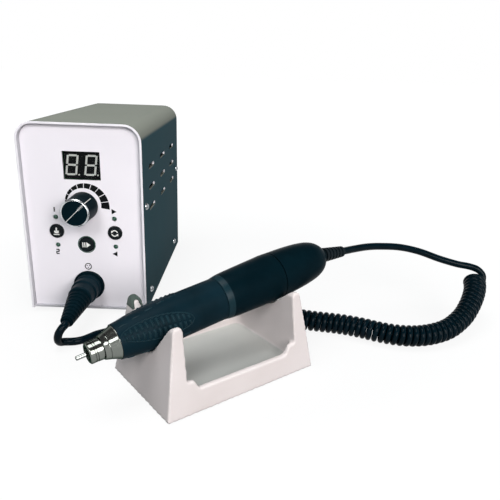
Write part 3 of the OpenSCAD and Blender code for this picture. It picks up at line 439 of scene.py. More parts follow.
# printing ink, screened on: thin, even and matt
white_ink = skinned("screened_ink_white", "#f2f2ef", 0.55,
    grain_mm=0.3, depth_mm=0.003, tones=("#eeeeea", "#f5f5f2"), gloss=(0.5, 0.6), patch_mm=3)
dark_ink = skinned("screened_ink_black", "#05080a", 0.6, Specular_IOR_Level=0.1,
    grain_mm=0.3, depth_mm=0.003, tones=("#040608", "#080b0d"), gloss=(0.55, 0.65), patch_mm=3)
print("coats and plastics:", len(bpy.data.materials))

# %% [markdown]
# The nose is turned steel. A lathe leaves fine rings square to the axis, and the polish leaves them
# just visible as streaks in the reflections. The rings are drawn with a wave along the handpiece's own
# axis: a Mapping node of the texture kind turns the part's coordinates into the handpiece's frame.

# %% Metals
hand_frame = Matrix((
    (-math.sin(tilt) * along[0], -across[0], hand_way[0]),
    (-math.sin(tilt) * along[1], -across[1], hand_way[1]),
    (math.cos(tilt), 0, hand_way[2]),
))
hand_turn = hand_frame.to_euler()


def ring_wave(tree, ring_mm):
    where = add(tree, "ShaderNodeTexCoord").outputs["Object"]
    turned = add(tree, "ShaderNodeMapping",
                 {"Vector": where, "Location": Vector(hand_at) * MM, "Rotation": hand_turn},
                 vector_type="TEXTURE")
    return add(tree, "ShaderNodeTexWave",
               {"Vector": turned.outputs["Vector"], "Scale": math.pi / 10 * per_metre(ring_mm),
                "Distortion": 0.6, "Detail": 2.0},
               wave_type="BANDS", bands_direction="Z")


# tool steel, turned and polished; real rings are finer than 0.1 mm and are drawn coarser to show
turned_steel, tree, shader = start("turned_steel_polished", "#797d78", 0.16, Metallic=1.0,
                                   Specular_Tint=linear("#6f7775"))
wave = ring_wave(tree, 0.45)
rough = add(tree, "ShaderNodeMapRange", {"Value": wave.outputs["Fac"], "To Min": 0.1, "To Max": 0.2})
tree.links.new(rough.outputs["Result"], shader.inputs["Roughness"])

# ground steel for the bur's shank and the parts that run: too fine a finish to show its lines
ground_steel = skinned("ground_steel", "#8f9390", 0.1, Metallic=1.0, Specular_Tint=linear("#5d6462"),
    grain_mm=0.4, depth_mm=0.001, tones=("#888c89", "#979b98"), gloss=(0.07, 0.13), patch_mm=3)

# steel fasteners under bright zinc, with the mottling that plating leaves
zinc = skinned("zinc_plated_steel", "#a9adb0", 0.22, Metallic=1.0,
    grain_mm=0.5, depth_mm=0.004, tones=("#9da1a4", "#b4b8bb"), gloss=(0.16, 0.28), patch_mm=2)

# brass, turned: warm yellow with soft, broken highlights
brass = skinned("turned_brass", "#c9a35a", 0.3, Metallic=1.0,
    grain_mm=0.4, depth_mm=0.004, tones=("#c29a50", "#d2ae68"), gloss=(0.24, 0.38), patch_mm=3)

# copper wire, enamelled and wound: red brown, with a gleam that the turns of wire make uneven
copper = skinned("wound_copper_enamelled", "#a8612f", 0.35, Metallic=0.8,
    grain_mm=0.8, depth_mm=0.05, tones=("#98552a", "#b87038"), gloss=(0.3, 0.45), patch_mm=4)

# aluminium, extruded: pale grey with the dull sheen of a drawn surface
aluminium = skinned("extruded_aluminium", "#a9adb0", 0.4, Metallic=1.0,
    grain_mm=0.4, depth_mm=0.006, tones=("#a0a4a7", "#b3b7ba"), gloss=(0.34, 0.48), patch_mm=6)

# iron sheet, stacked and dipped: dark grey, and its layers scatter the light
iron = skinned("stacked_iron_sheet", "#56595c", 0.5, Metallic=0.9,
    grain_mm=0.5, depth_mm=0.03, tones=("#4c4f52", "#616468"), gloss=(0.44, 0.6), patch_mm=5)
print("metals made; all materials:", len(bpy.data.materials))

# %% [markdown]
# Lamps, display and boards: small cast and cut pieces behind the panel. Four lamps and the window show from
# outside, so their epoxy and acrylic let some light through. The rest is seen only when the box or the
# handpiece is taken apart, and gets plain finishes that say what each piece is made of.

# %% Lamps, display and boards
# clear epoxy with a green tint, cast: unlit, it looks nearly black at its edge
lamp_epoxy = skinned("cast_epoxy_green", "#0f5540", 0.15, Transmission_Weight=0.35, IOR=1.5,
    grain_mm=1.0, depth_mm=0.004, tones=("#0c4c39", "#146049"), gloss=(0.1, 0.2), patch_mm=1.5)

# smoked acrylic, cut from polished sheet: dark and clear, with a sharp, weak reflection
smoked = skinned("polished_acrylic_smoked", "#05090b", 0.06, Specular_IOR_Level=0.1, Alpha=0.12,
    grain_mm=6, depth_mm=0.002, tones=("#04070a", "#070b0e"), gloss=(0.04, 0.08), patch_mm=10)

# glass fibre in resin, pressed flat and lacquered green: smooth, with a slightly uneven gloss
board_resin = skinned("glass_fibre_board_green", "#1f5a34", 0.4,
    grain_mm=0.6, depth_mm=0.01, tones=("#1a4f2d", "#25663c"), gloss=(0.35, 0.48), patch_mm=7)

# phenolic resin, moulded: brown and dull, with cloudy patches
resin = skinned("moulded_resin_brown", "#7a5a33", 0.5,
    grain_mm=0.5, depth_mm=0.01, tones=("#6f502c", "#86653b"), gloss=(0.45, 0.58), patch_mm=6)

# carbon, pressed and ground: dark grey and dusty
carbon = skinned("pressed_carbon", "#26282a", 0.6,
    grain_mm=0.3, depth_mm=0.02, tones=("#202224", "#2e3133"), gloss=(0.5, 0.7), patch_mm=2)

# plastic sleeve, shrunk on by heat: deep blue and waxy
sleeve = skinned("shrunk_sleeve_blue", "#26324a", 0.3,
    grain_mm=3, depth_mm=0.01, tones=("#222d43", "#2c3954"), gloss=(0.26, 0.36), patch_mm=8)
print("all materials:", len(bpy.data.materials))

# %% [markdown]
# Each solid that stays as the construction model has it gets its own finish here. Pieces further down
# stand in for some of them, and then only the mass and the collision of the solid are left.

# %% Finishes for the solids
finish_of = {
    powder_coat: ["top_cover"],
    primer: ["base_tray", "rear_panel"],
    enamel: ["front_panel"],
    zinc: ["cover_screws", "board_screws", "inlet_screws", "pot_nut", "socket_nut", "jack_nut", "inlet_pins",
           "pot_shaft"],
    rubber: ["rubber_feet", "strain_relief"],
    smooth_abs: ["chuck_ring", "rear_cap", "plug_boot"],
    smoked: ["display_window"],
    gloss_abs: ["display_module", "speed_knob", "mode_key", "turn_key", "run_key", "motor_socket",
                "mains_inlet", "rocker_frame", "power_rocker", "fuse_holder", "foot_jack", "key_switches"],
    board_resin: ["main_board", "power_board"],
    brass: ["board_posts", "socket_pins"],
    aluminium: ["speed_pot", "heat_sink"],
    white_ink: ["knob_pointer"],
    lamp_epoxy: ["indicator_lamps"],
    pvc: ["plug_lead", "curly_cord", "handpiece_lead"],
    iron: ["transformer_core", "rotor", "magnets", "motor_case"],
    copper: ["transformer_winding", "commutator"],
    sleeve: ["capacitors"],
    ivory_abs: ["cradle"],
    cap_rubber: ["cradle_caps"],
    turned_steel: ["nose_cone"],
    ground_steel: ["collet", "tool_shank", "spindle", "front_bearings", "rear_bearing"],
    satin_abs: ["front_grip", "motor_plug"],
    resin: ["brush_holder"],
    carbon: ["brushes"],
}
for material, names in finish_of.items():
    for name in names:
        nodes[name].data.materials.clear()
        nodes[name].data.materials.append(material)
left = set(nodes) - {name for names in finish_of.values() for name in names}
print("solids without a finish:", sorted(left))

# %% [markdown]
# The cord lies on the floor between the box and the handpiece. Its curly part rides on the base, and the lead
# beside the handpiece is a piece of its own.

# %% Cord laid on the floor
cord.data.materials.append(pvc)
hand_lead.data.materials.append(pvc)
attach(cord, "base")
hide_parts("plug_lead", "curly_cord")
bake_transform(hand_lead)
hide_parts("handpiece_lead")

# %% [markdown]
# Nothing real has a perfectly sharp edge. Moulded pieces come out of the tool with small radii, and bent
# or punched sheet has a worn edge, and these thin rounds catch the light. A solid from the construction
# model is copied, its loose triangles are merged into whole faces, and a Bevel modifier rounds each edge
# that is sharper than 30 degrees. A Weighted Normal modifier then keeps the large faces flat to the light,
# and the rounded copy stands in for the solid.

# %% Rounded copies of the solids
weld = 0.015 * MM
flat_angle = math.radians(0.6)


def merged(name):
    mesh = nodes[name].data.copy()
    shape = bmesh.new()
    shape.from_mesh(mesh)
    bmesh.ops.remove_doubles(shape, verts=shape.verts, dist=weld)
    bmesh.ops.dissolve_limit(shape, angle_limit=flat_angle, verts=shape.verts, edges=shape.edges)
    shape.to_mesh(mesh)
    shape.free()
    return mesh


def settle(made, body, slot, *stands_for):
    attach(made, body)
    if stands_for:
        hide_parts(*stands_for)


def plain_mesh(made):
    finished = bpy.data.meshes.new_from_object(made.evaluated_get(bpy.context.evaluated_depsgraph_get()))
    made.modifiers.clear()
    made.data = finished
    return finished


def rounded(name, round_mm, body, slot, finish, segments=2, angle=30):
    mesh = merged(name)
    mesh.materials.clear()
    mesh.materials.append(finish)
    made = bpy.data.objects.new(name + "_rounded", mesh)
    scene.collection.objects.link(made)
    bevel = made.modifiers.new("edges", "BEVEL")
    bevel.width, bevel.segments, bevel.limit_method = round_mm * MM, segments, "ANGLE"
    bevel.angle_limit, bevel.use_clamp_overlap = math.radians(angle), False
    bevel.miter_outer = "MITER_ARC"
    mesh.polygons.foreach_set("use_smooth", [True] * len(mesh.polygons))
    made.modifiers.new("flat_faces", "WEIGHTED_NORMAL").keep_sharp = True
    plain_mesh(made)
    settle(made, body, slot, name)
    return made


# %% [markdown]
# The small mouldings and the flat sheets get the same treatment in one go: keys, socket, lamps, rear
# fittings, feet and panels. Each row holds the piece, its radius in millimetres, the body that it moves
# with, its material slot, and its finish.

# %% Small mouldings and sheets
for name, round_mm, body, slot, finish in (
        ("mode_key", 0.3, "mode_key", "black_plastic", gloss_abs),
        ("turn_key", 0.3, "turn_key", "black_plastic", gloss_abs),
        ("run_key", 0.3, "run_key", "black_plastic", gloss_abs),
        ("motor_socket", 0.3, "base", "black_plastic", smooth_abs),
        ("indicator_lamps", 0.05, "base", "lamp_green", lamp_epoxy),
        ("cradle_caps", 0.12, "base", "cap_rubber", cap_rubber),
        ("mains_inlet", 0.4, "base", "black_plastic", gloss_abs),
        ("rocker_frame", 0.4, "base", "black_plastic", gloss_abs),
        ("power_rocker", 0.3, "rocker", "black_plastic", gloss_abs),
        ("fuse_holder", 0.1, "base", "black_plastic", gloss_abs),
        ("foot_jack", 0.2, "base", "black_plastic", gloss_abs),
        ("rubber_feet", 0.3, "base", "foot_rubber", rubber),
        ("front_panel", 0.12, "base", "panel_paint", enamel),
        ("rear_panel", 0.12, "base", "rear_paint", primer)):
    made = rounded(name, round_mm, body, slot, finish)
    print(made.name, len(made.data.polygons))

# %% [markdown]
# Cradle: one thick moulding with soft radii everywhere. Its curved lips leave too little room for a bevel,
# so a Remesh modifier turns the copy into even small faces instead, and a Smooth modifier wears every edge
# to a radius of about a millimetre, as the tool maker's polish would.

# %% Cradle
cradle_mesh = merged("cradle")
cradle_mesh.materials.clear()
cradle_mesh.materials.append(ivory_abs)
cradle = bpy.data.objects.new("cradle_moulding", cradle_mesh)
scene.collection.objects.link(cradle)
remesh = cradle.modifiers.new("even_faces", "REMESH")
remesh.mode, remesh.voxel_size, remesh.use_smooth_shade = "VOXEL", 0.75 * MM, True
soften = cradle.modifiers.new("soft_edges", "SMOOTH")
soften.factor, soften.iterations = 0.5, 6
cradle_mesh = plain_mesh(cradle)
settle(cradle, "base", "cradle_plastic", "cradle")
print("cradle faces:", len(cradle_mesh.polygons), "materials:", [m.name for m in cradle_mesh.materials])

# %% [markdown]
# Cover: one sheet of steel bent over the box and coated outside. The faces of its punched slots and its rims
# that point to the front or back are painted near white, a painted highlight for the light that these cut
# edges catch, and the inside has only a light primer, as the tray under it has. The rounded copy carries three
# finishes, and each face takes one by where it points.

# %% Cover
# painted highlight: the cut edges that face the front or back are painted near white
edge_painted_highlight = skinned("cut_edge_painted_highlight", "#f0edf2", 0.35, Specular_IOR_Level=0.4,
    grain_mm=0.8, depth_mm=0.006, tones=("#e9e6ec", "#f6f3f8"), gloss=(0.3, 0.42), patch_mm=12)
inner_primer = skinned("sprayed_primer_light_grey", "#c4c3c8", 0.6, Specular_IOR_Level=0.1,
    grain_mm=1.0, depth_mm=0.01, tones=("#bebdc2", "#cac9ce"), gloss=(0.54, 0.66), patch_mm=40)

# places on the cover's section in millimetres: where its wall starts, where it bends, and its middle;
# a face counts as pointing along an axis from this share of its normal up
wall_x, bend_z, middle_z = 40.6, 124, 60
along_axis_from = 0.6
nodes["base_tray"].data.materials[0] = inner_primer
cover = rounded("top_cover", 0.18, "base", "cover_paint", powder_coat, segments=1)
cover.data.materials.append(inner_primer)
cover.data.materials.append(edge_painted_highlight)
for face in cover.data.polygons:
    x, y, z = face.center / MM
    n = face.normal
    in_wall = abs(x) > wall_x and z < bend_z and abs(n.x) < along_axis_from
    if abs(n.y) > along_axis_from:
        face.material_index = 2
    elif not in_wall and x * n.x + (z - middle_z) * n.z < 0:
        face.material_index = 1
counts = [sum(f.material_index == i for f in cover.data.polygons) for i in range(3)]
print("cover faces: coat, primer, cut edge", counts)

# %% [markdown]
# Panel print: a black scale of ten wedges that grow round the knob, small plain marks beside the lamps,
# and white signs on the three keys. On the real panel these are screened ink, a few hundredths of a
# millimetre thick. A texture would do as well, but outlines in millimetres keep their edges at any
# distance, so each mark is a very thin prism that starts just inside the surface that carries it.


# %% Outlines for the print
def sector(x, z, inner, outer, first, last, outer_last=None, steps=6):
    turns = [math.radians(first + (last - first) * i / steps) for i in range(steps + 1)]
    grow = ((outer_last or outer) - outer) / steps
    ring = [(x + (outer + grow * i) * math.cos(a), z + (outer + grow * i) * math.sin(a))
            for i, a in enumerate(turns)]
    return ring + [(x + inner * math.cos(a), z + inner * math.sin(a)) for a in reversed(turns)]


def stroke(x0, z0, x1, z1, width):
    length = math.hypot(x1 - x0, z1 - z0)
    a, b = (x1 - x0) / length * width / 2, (z1 - z0) / length * width / 2
    return [(x0 - b, z0 + a), (x0 + b, z0 - a), (x1 + b, z1 - a), (x1 - b, z1 + a)]


def prisms(name, outlines, front_y, back_y, finish):
    shape = bmesh.new()
    for outline in outlines:
        front, back = ([shape.verts.new((x * MM, y * MM, z * MM)) for x, z in outline]
                       for y in (front_y, back_y))
        shape.faces.new(front)
        shape.faces.new(list(reversed(back)))
        for i in range(len(outline)):
            k = (i + 1) % len(outline)
            shape.faces.new((front[k], front[i], back[i], back[k]))
    bmesh.ops.recalc_face_normals(shape, faces=shape.faces)
    mesh = bpy.data.meshes.new(name)
    shape.to_mesh(mesh)
    shape.free()
    mesh.materials.append(finish)
    made = bpy.data.objects.new(name, mesh)
    scene.collection.objects.link(made)
    return made


# %% Scale and marks on the panel
knob_z, key_x, key_z, run_z = 80.5, 20.5, 61.3, 52.0

# the scale's wedges, with radii in millimetres and turns in degrees
wedge_inner, wedge_outer, wedge_growth = 12, 12.9, 0.5
wedge_first, wedge_last, wedge_step = 184, 166.2, 19.4
wedges = [sector(0, knob_z + 0.3, wedge_inner, wedge_outer + wedge_growth * i,
                 wedge_first - wedge_step * i, wedge_last - wedge_step * i,
                 wedge_outer + wedge_growth * (i + 1)) for i in range(10)]

# a 1 and a 2 on the left, triangles on the right, and a round socket with three holes below
mark_x, two_z, two_size, socket_mark_z = -21, 46, 1.3, 35.4
two = [(-0.8, 1.2, 0.8, 1.2), (0.65, 1.2, 0.65, 0), (-0.8, 0, 0.8, 0), (-0.65, 0, -0.65, -1.2),
       (-0.8, -1.2, 0.8, -1.2)]
marks = [stroke(mark_x, 75.3, mark_x, 78.7, 0.95)]
marks += [stroke(mark_x + two_size * a, two_z + two_size * b,
                 mark_x + two_size * c, two_z + two_size * d, 0.85) for a, b, c, d in two]
marks += [[(22.4, 76.8), (18.9, 78.7), (18.9, 74.9)], [(18, 45.6), (21.5, 43.7), (21.5, 47.5)]]
marks += [sector(0, socket_mark_z, 1.9, 2.55, 0, 358, steps=24)]
marks += [stroke(x - 0.35, socket_mark_z + z, x + 0.35, socket_mark_z + z, 0.7)
          for x, z in ((-0.8, 0.5), (0.8, 0.5), (0, -0.8))]
panel_print = prisms("panel_print", wedges + marks, face_y - 0.04, face_y + 0.1, dark_ink)
settle(panel_print, "base", "black_plastic")
run_ring = prisms("run_ring", [sector(0, run_z, 5.75, 6.35, 0, 358, steps=40)],
                  face_y - 0.05, face_y + 0.1, lamp_epoxy)
settle(run_ring, "base", "lamp_green")
print("print shapes:", len(wedges) + len(marks))

# %% [markdown]
# Signs: a pressing finger, two turning arrows and a start sign, in white on the black keys, and a white line
# across the knob that runs over its edge. Each sign is drawn in millimetres about the middle of its key, and
# rides on that key, so that it sinks with it when it is pressed.

# %% Signs on the keys and the line across the knob
hand = [[(-0.45, 0.1), (0.55, 0.1), (0.55, 2.5), (0.3, 2.85), (-0.2, 2.85), (-0.45, 2.5)],
        [(-1.5, 0.5), (-1.7, -0.3), (-0.9, -1.4), (1.2, -1.4), (1.7, -0.5), (1.7, 0.5), (0.6, 0.65)],
        stroke(-2.0, -2.3, 2.0, -2.3, 0.7)]
swap = [sector(0, 0, 1.7, 2.4, 15, 140), sector(0, 0, 1.7, 2.4, 195, 320),
        [(-2.5, 0.1), (-0.75, 1.15), (-2.35, 2.0)], [(2.5, -0.1), (0.75, -1.15), (2.35, -2.0)]]
play = [stroke(-2.5, -1.8, -2.5, 1.8, 0.75), stroke(-1.1, -1.8, -1.1, 1.8, 0.75),
        [(0, -2.05), (2.9, 0), (0, 2.05)]]
for name, x, z, sign in (("mode_key", -key_x, key_z, hand), ("turn_key", key_x, key_z, swap),
                         ("run_key", 0, run_z, play)):
    key_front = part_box(name)[0][1] / MM
    made = prisms(name + "_sign", [[(x + a, z + b) for a, b in outline] for outline in sign],
                  key_front - 0.04, key_front + 0.15, white_ink)
    settle(made, name, "pointer_white")
knob_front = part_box("speed_knob")[0][1] / MM
pointer_turn = math.radians(45)
pointer_way = np.array([math.cos(pointer_turn), math.sin(pointer_turn)])
(x0, z0), (x1, z1), (x2, z2) = (pointer_way * r + (0, knob_z) for r in (-8.9, 8.9, 9.72))
knob_line = prisms("knob_line", [stroke(x0, z0, x1, z1, 0.32)], knob_front - 0.03, knob_front + 0.2,
                   white_ink)
settle(knob_line, "knob", "pointer_white", "knob_pointer")
knob_mark = prisms("knob_mark", [stroke(x1, z1, x2, z2, 0.36)], knob_front + 0.9, face_y - 6.5,
                   white_ink)
settle(knob_mark, "knob", "pointer_white")
print("knob front at", round(knob_front, 2), "mm")

# %% [markdown]
# Display: two digits of seven bars each with a point, moulded in a milky resin that only looks pale
# while the lamps behind it are off. The digits lean to the right, as on nearly every such display, so the
# bars are sheared. They stand a hair proud of a plain black case that takes the place of the solid.

# %% Digits
milky = skinned("cast_epoxy_milky", "#e9ece6", 0.35,
    grain_mm=0.8, depth_mm=0.004, tones=("#e2e6df", "#eff2ed"), gloss=(0.3, 0.42), patch_mm=2)
digit_w, digit_h, digit_pitch, digit_shift = 8.0, 14.4, 12.9, 0.9
bar_w, point_r, display_z = 1.3, 0.6, 108
lean = math.tan(math.radians(8.4))
bars = []
for x in (-digit_pitch / 2 - digit_shift, digit_pitch / 2 - digit_shift):
    for row in (-1, 0, 1):
        level_z = row * (digit_h - bar_w) / 2
        bars.append(stroke(x - digit_w / 2 + bar_w, level_z, x + digit_w / 2 - bar_w, level_z, bar_w))
    for side in (-1, 1):
        for row in (-1, 1):
            bar_x, bar_z = x + side * (digit_w - bar_w) / 2, row * digit_h / 4
            reach = digit_h / 4 - 0.45 * bar_w
            bars.append(stroke(bar_x, bar_z - reach, bar_x, bar_z + reach, bar_w))
    point_x, point_z = x + digit_w / 2 + 1.4, -digit_h / 2 + 0.5
    bars.append(sector(point_x, point_z, 0.01 * point_r, point_r, 0, 359, steps=14))
bars = [[(x + lean * z, display_z + z) for x, z in outline] for outline in bars]
(case_x0, digit_face, case_z0), (case_x1, case_back, case_z1) = (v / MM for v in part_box("display_module"))
outline = [(case_x0, case_z0), (case_x1, case_z0), (case_x1, case_z1), (case_x0, case_z1)]
case = prisms("display_case", [outline], digit_face, case_back, dark_ink)
settle(case, "base", "display_case", "display_module")
digits = prisms("digit_bars", bars, digit_face - 0.1, digit_face + 0.2, milky)
settle(digits, "base", "display_case")
print("digit bars:", len(bars), "at", round(digit_face, 2), "mm")

# %% [markdown]
# Grip: the black sleeve has three oval pads of short moulded ribs for the fingers, each with a fine rim, and
# a row of long dashes between one pad and the next. Ribs repeat and follow a surface, so Geometry Nodes
# makes them. A point per rib lies on a flat map of the sleeve, with x along the handpiece and y round it.
# The tree sets a small domed tile on every point, then rolls the map up: it casts a ray from outside
# towards the axis, and each tile's corner lands on the sleeve and is lifted by its height on the tile.

# %% Points on the flat map of the sleeve
map_r = 12.6
arc_mm = math.radians(1) * map_r

# the pads: middle and half length along the axis in mm, half width round it in degrees, and skew in degrees
# per mm; then sizes of the ribs, the rim's tiles and the dashes in mm
pad_mid, pad_half, pad_turn, pad_skew = 8.6, 20.4, 29.0, 0.6
pads, pad_step, first_pad, first_dash = 3, 120, 66, 6
rib_pitch, rib_width, rib_height = 2.95, 1.75, 0.74
pad_border, pad_gap = 3.2, 1.5
rim_tiles, rim_width, rim_height = 44, 0.7, 0.35
dash_pitch, dash_width, dash_length, dash_height = 8, 0.9, 5.0, 0.55

# a row holds x, y, turn, width, length and height of one rib
rib_rows = []
for pad in range(pads):
    pad_at = first_pad + pad_step * pad
    for i in range(-6, 7):
        x = rib_pitch * i
        reach = pad_turn * math.sqrt(1 - (x / pad_half) ** 2) - pad_border
        for side in (-1, 1):
            span = max(reach - pad_gap, pad_gap)
            at = pad_at + pad_skew * x + side * (pad_gap + span / 2)
            rib_rows.append((pad_mid + x, at * arc_mm, 0, rib_width, span * arc_mm, rib_height))
    for i in range(rim_tiles):
        a = 2 * math.pi * i / rim_tiles
        x, y = pad_half * math.cos(a), pad_turn * arc_mm * math.sin(a)
        x_way, y_way = -pad_half * math.sin(a), pad_turn * arc_mm * math.cos(a)
        step = math.hypot(x_way, y_way) * 2 * math.pi / rim_tiles
        rib_rows.append((pad_mid + x, (pad_at + pad_skew * x) * arc_mm + y,
                         math.atan2(y_way, x_way) - math.pi / 2, rim_width, 1.6 * step, rim_height))
    for i in range(5):
        at = first_dash + pad_step * pad + 14 - 6 * i
        rib_rows.append((-8 + dash_pitch * i, at * arc_mm, math.pi / 2, dash_width, dash_length, dash_height))
rib_rows = np.array(rib_rows)
rib_points = bpy.data.meshes.new("rib_points")
rib_points.from_pydata([(x * MM, y * MM, 0) for x, y in rib_rows[:, :2]], [], [])
rib_points.attributes.new("turn", "FLOAT_VECTOR", "POINT").data.foreach_set(
    "vector", np.column_stack([np.zeros((len(rib_rows), 2)), rib_rows[:, 2]]).ravel())
rib_points.attributes.new("size", "FLOAT_VECTOR", "POINT").data.foreach_set(
    "vector", (rib_rows[:, 3:] * MM).ravel())
print("rib points:", len(rib_rows))

# %% Tree for the ribs: one tile
tree = bpy.data.node_groups.new("ribs_on_sleeve", "GeometryNodeTree")
for name, kind in (("Points", "Geometry"), ("Sleeve", "Object"), ("Finish", "Material"),
                   ("Map Radius", "Float"), ("Sunk", "Float"), ("Axis Start", "Vector"),
                   ("Axis", "Vector"), ("Top", "Vector"), ("Side", "Vector")):
    tree.interface.new_socket(name, in_out="INPUT", socket_type="NodeSocket" + kind)
tree.interface.new_socket("Ribs", in_out="OUTPUT", socket_type="NodeSocketGeometry")
given = add(tree, "NodeGroupInput").outputs

# one tile, a thin closed block whose top is domed across and falls off towards its ends
tile = add(tree, "GeometryNodeMeshCube",
           {"Size": (1, 1, 0.3), "Vertices X": 7, "Vertices Y": 9, "Vertices Z": 2})
position = add(tree, "GeometryNodeInputPosition").outputs[0]
spot = add(tree, "ShaderNodeSeparateXYZ", {"Vector": position}).outputs
across_2 = add(tree, "ShaderNodeMath", {0: spot["X"], 1: 2.0}, operation="MULTIPLY").outputs[0]
across_sq = add(tree, "ShaderNodeMath", {0: across_2, 1: 2.0}, operation="POWER").outputs[0]
length_2 = add(tree, "ShaderNodeMath", {0: spot["Y"], 1: 2.0}, operation="MULTIPLY").outputs[0]
length_4 = add(tree, "ShaderNodeMath", {0: length_2, 1: 4.0}, operation="POWER").outputs[0]
dome = add(tree, "ShaderNodeMath", {0: 1.0, 1: across_sq}, operation="SUBTRACT").outputs[0]
ends = add(tree, "ShaderNodeMath", {0: 1.0, 1: length_4}, operation="SUBTRACT").outputs[0]
height = add(tree, "ShaderNodeMath", {0: dome, 1: ends}, operation="MULTIPLY").outputs[0]
above = add(tree, "ShaderNodeMath", {0: height, 1: 0.15}, operation="SUBTRACT").outputs[0]
lift = add(tree, "ShaderNodeCombineXYZ", {"Z": above}).outputs[0]
on_top = add(tree, "ShaderNodeMath", {0: spot["Z"], 1: 0.0}, operation="GREATER_THAN").outputs[0]
domed = add(tree, "GeometryNodeSetPosition",
            {"Geometry": tile.outputs["Mesh"], "Selection": on_top, "Offset": lift}).outputs[0]

print("nodes for one tile:", len(tree.nodes))

# %% Tree for the ribs: tiles on their points, rolled on to the sleeve
# a tile on every point, at that point's turn and size
turn = add(tree, "GeometryNodeInputNamedAttribute", {"Name": "turn"}, data_type="FLOAT_VECTOR").outputs[0]
size = add(tree, "GeometryNodeInputNamedAttribute", {"Name": "size"}, data_type="FLOAT_VECTOR").outputs[0]
turned = add(tree, "FunctionNodeEulerToRotation", {0: turn}).outputs[0]
tiles = add(tree, "GeometryNodeInstanceOnPoints",
            {"Points": given["Points"], "Instance": domed, "Rotation": turned, "Scale": size}).outputs[0]
tiles = add(tree, "GeometryNodeRealizeInstances", {0: tiles}).outputs[0]

# rolled up: x stays along the axis, y becomes a turn round it, z stays the height; the rays start this far
# from the axis, in metres
ray_reach = 0.03
flat = add(tree, "ShaderNodeSeparateXYZ", {"Vector": position}).outputs
angle = add(tree, "ShaderNodeMath", {0: flat["Y"], 1: given["Map Radius"]}, operation="DIVIDE").outputs[0]
cosine = add(tree, "ShaderNodeMath", {0: angle}, operation="COSINE").outputs[0]
sine = add(tree, "ShaderNodeMath", {0: angle}, operation="SINE").outputs[0]
part_top = add(tree, "ShaderNodeVectorMath", {0: given["Top"], "Scale": cosine}, operation="SCALE").outputs[0]
part_side = add(tree, "ShaderNodeVectorMath", {0: given["Side"], "Scale": sine}, operation="SCALE").outputs[0]
outward = add(tree, "ShaderNodeVectorMath", {0: part_top, 1: part_side}, operation="ADD").outputs[0]
along_axis = add(tree, "ShaderNodeVectorMath", {0: given["Axis"], "Scale": flat["X"]},
                 operation="SCALE").outputs[0]
on_axis = add(tree, "ShaderNodeVectorMath", {0: given["Axis Start"], 1: along_axis},
              operation="ADD").outputs[0]
outside = add(tree, "ShaderNodeVectorMath", {0: outward, 1: (ray_reach,) * 3, 2: on_axis},
              operation="MULTIPLY_ADD").outputs[0]
inward = add(tree, "ShaderNodeVectorMath", {0: outward, "Scale": -1.0}, operation="SCALE").outputs[0]
sleeve_shape = add(tree, "GeometryNodeObjectInfo", {"Object": given["Sleeve"]}).outputs["Geometry"]
landed = add(tree, "GeometryNodeRaycast",
             {"Target Geometry": sleeve_shape, "Source Position": outside, "Ray Direction": inward,
              "Ray Length": ray_reach}).outputs["Hit Position"]
rise = add(tree, "ShaderNodeMath", {0: flat["Z"], 1: given["Sunk"]}, operation="SUBTRACT").outputs[0]
raised = add(tree, "ShaderNodeVectorMath", {0: outward, "Scale": rise}, operation="SCALE").outputs[0]
place = add(tree, "ShaderNodeVectorMath", {0: landed, 1: raised}, operation="ADD").outputs[0]
rolled = add(tree, "GeometryNodeSetPosition", {"Geometry": tiles, "Position": place}).outputs[0]
rolled = add(tree, "GeometryNodeFlipFaces", {"Mesh": rolled}).outputs[0]
rolled = add(tree, "GeometryNodeSetShadeSmooth", {"Geometry": rolled}).outputs[0]
rolled = add(tree, "GeometryNodeSetMaterial", {"Geometry": rolled, "Material": given["Finish"]}).outputs[0]
add(tree, "NodeGroupOutput", {"Ribs": rolled})
print("nodes in the tree:", len(tree.nodes))


# %% Ribs on the sleeve
def tree_applied(name, points, tree, **values):
    made = bpy.data.objects.new(name, points)
    scene.collection.objects.link(made)
    modifier = made.modifiers.new(name, "NODES")
    modifier.node_group = tree
    for socket in tree.interface.items_tree:
        if socket.in_out == "INPUT" and socket.name in values:
            modifier[socket.identifier] = values[socket.name]
    plain_mesh(made)
    return made


# the ribs take the rub of the fingers and are the glossier plastic, whose paler colour is a painted highlight
# on them
grip_ribs = tree_applied("grip_ribs", rib_points, tree, **{
    "Sleeve": nodes["front_grip"], "Finish": rubbed_abs_painted_highlight, "Map Radius": map_r * MM, "Sunk": 0.06 * MM,
    "Axis Start": Vector(hand_at) * MM, "Axis": Vector(hand_way),
    "Top": hand_frame.col[0], "Side": hand_frame.col[1]})
settle(grip_ribs, "handpiece", "grip_plastic")
print("rib faces:", len(grip_ribs.data.polygons))

# %% [markdown]
# Screws: pan heads with a cross recess hold the cover, and two flatter ones hold the mains inlet. They are
# all alike, so one head is modelled from a given profile and Geometry Nodes sets a copy on every point, turned
# the way that the point's attribute says. The recess is real, because the light in it makes a screw read as
# one.

# %% One screw head
shape = bmesh.new()
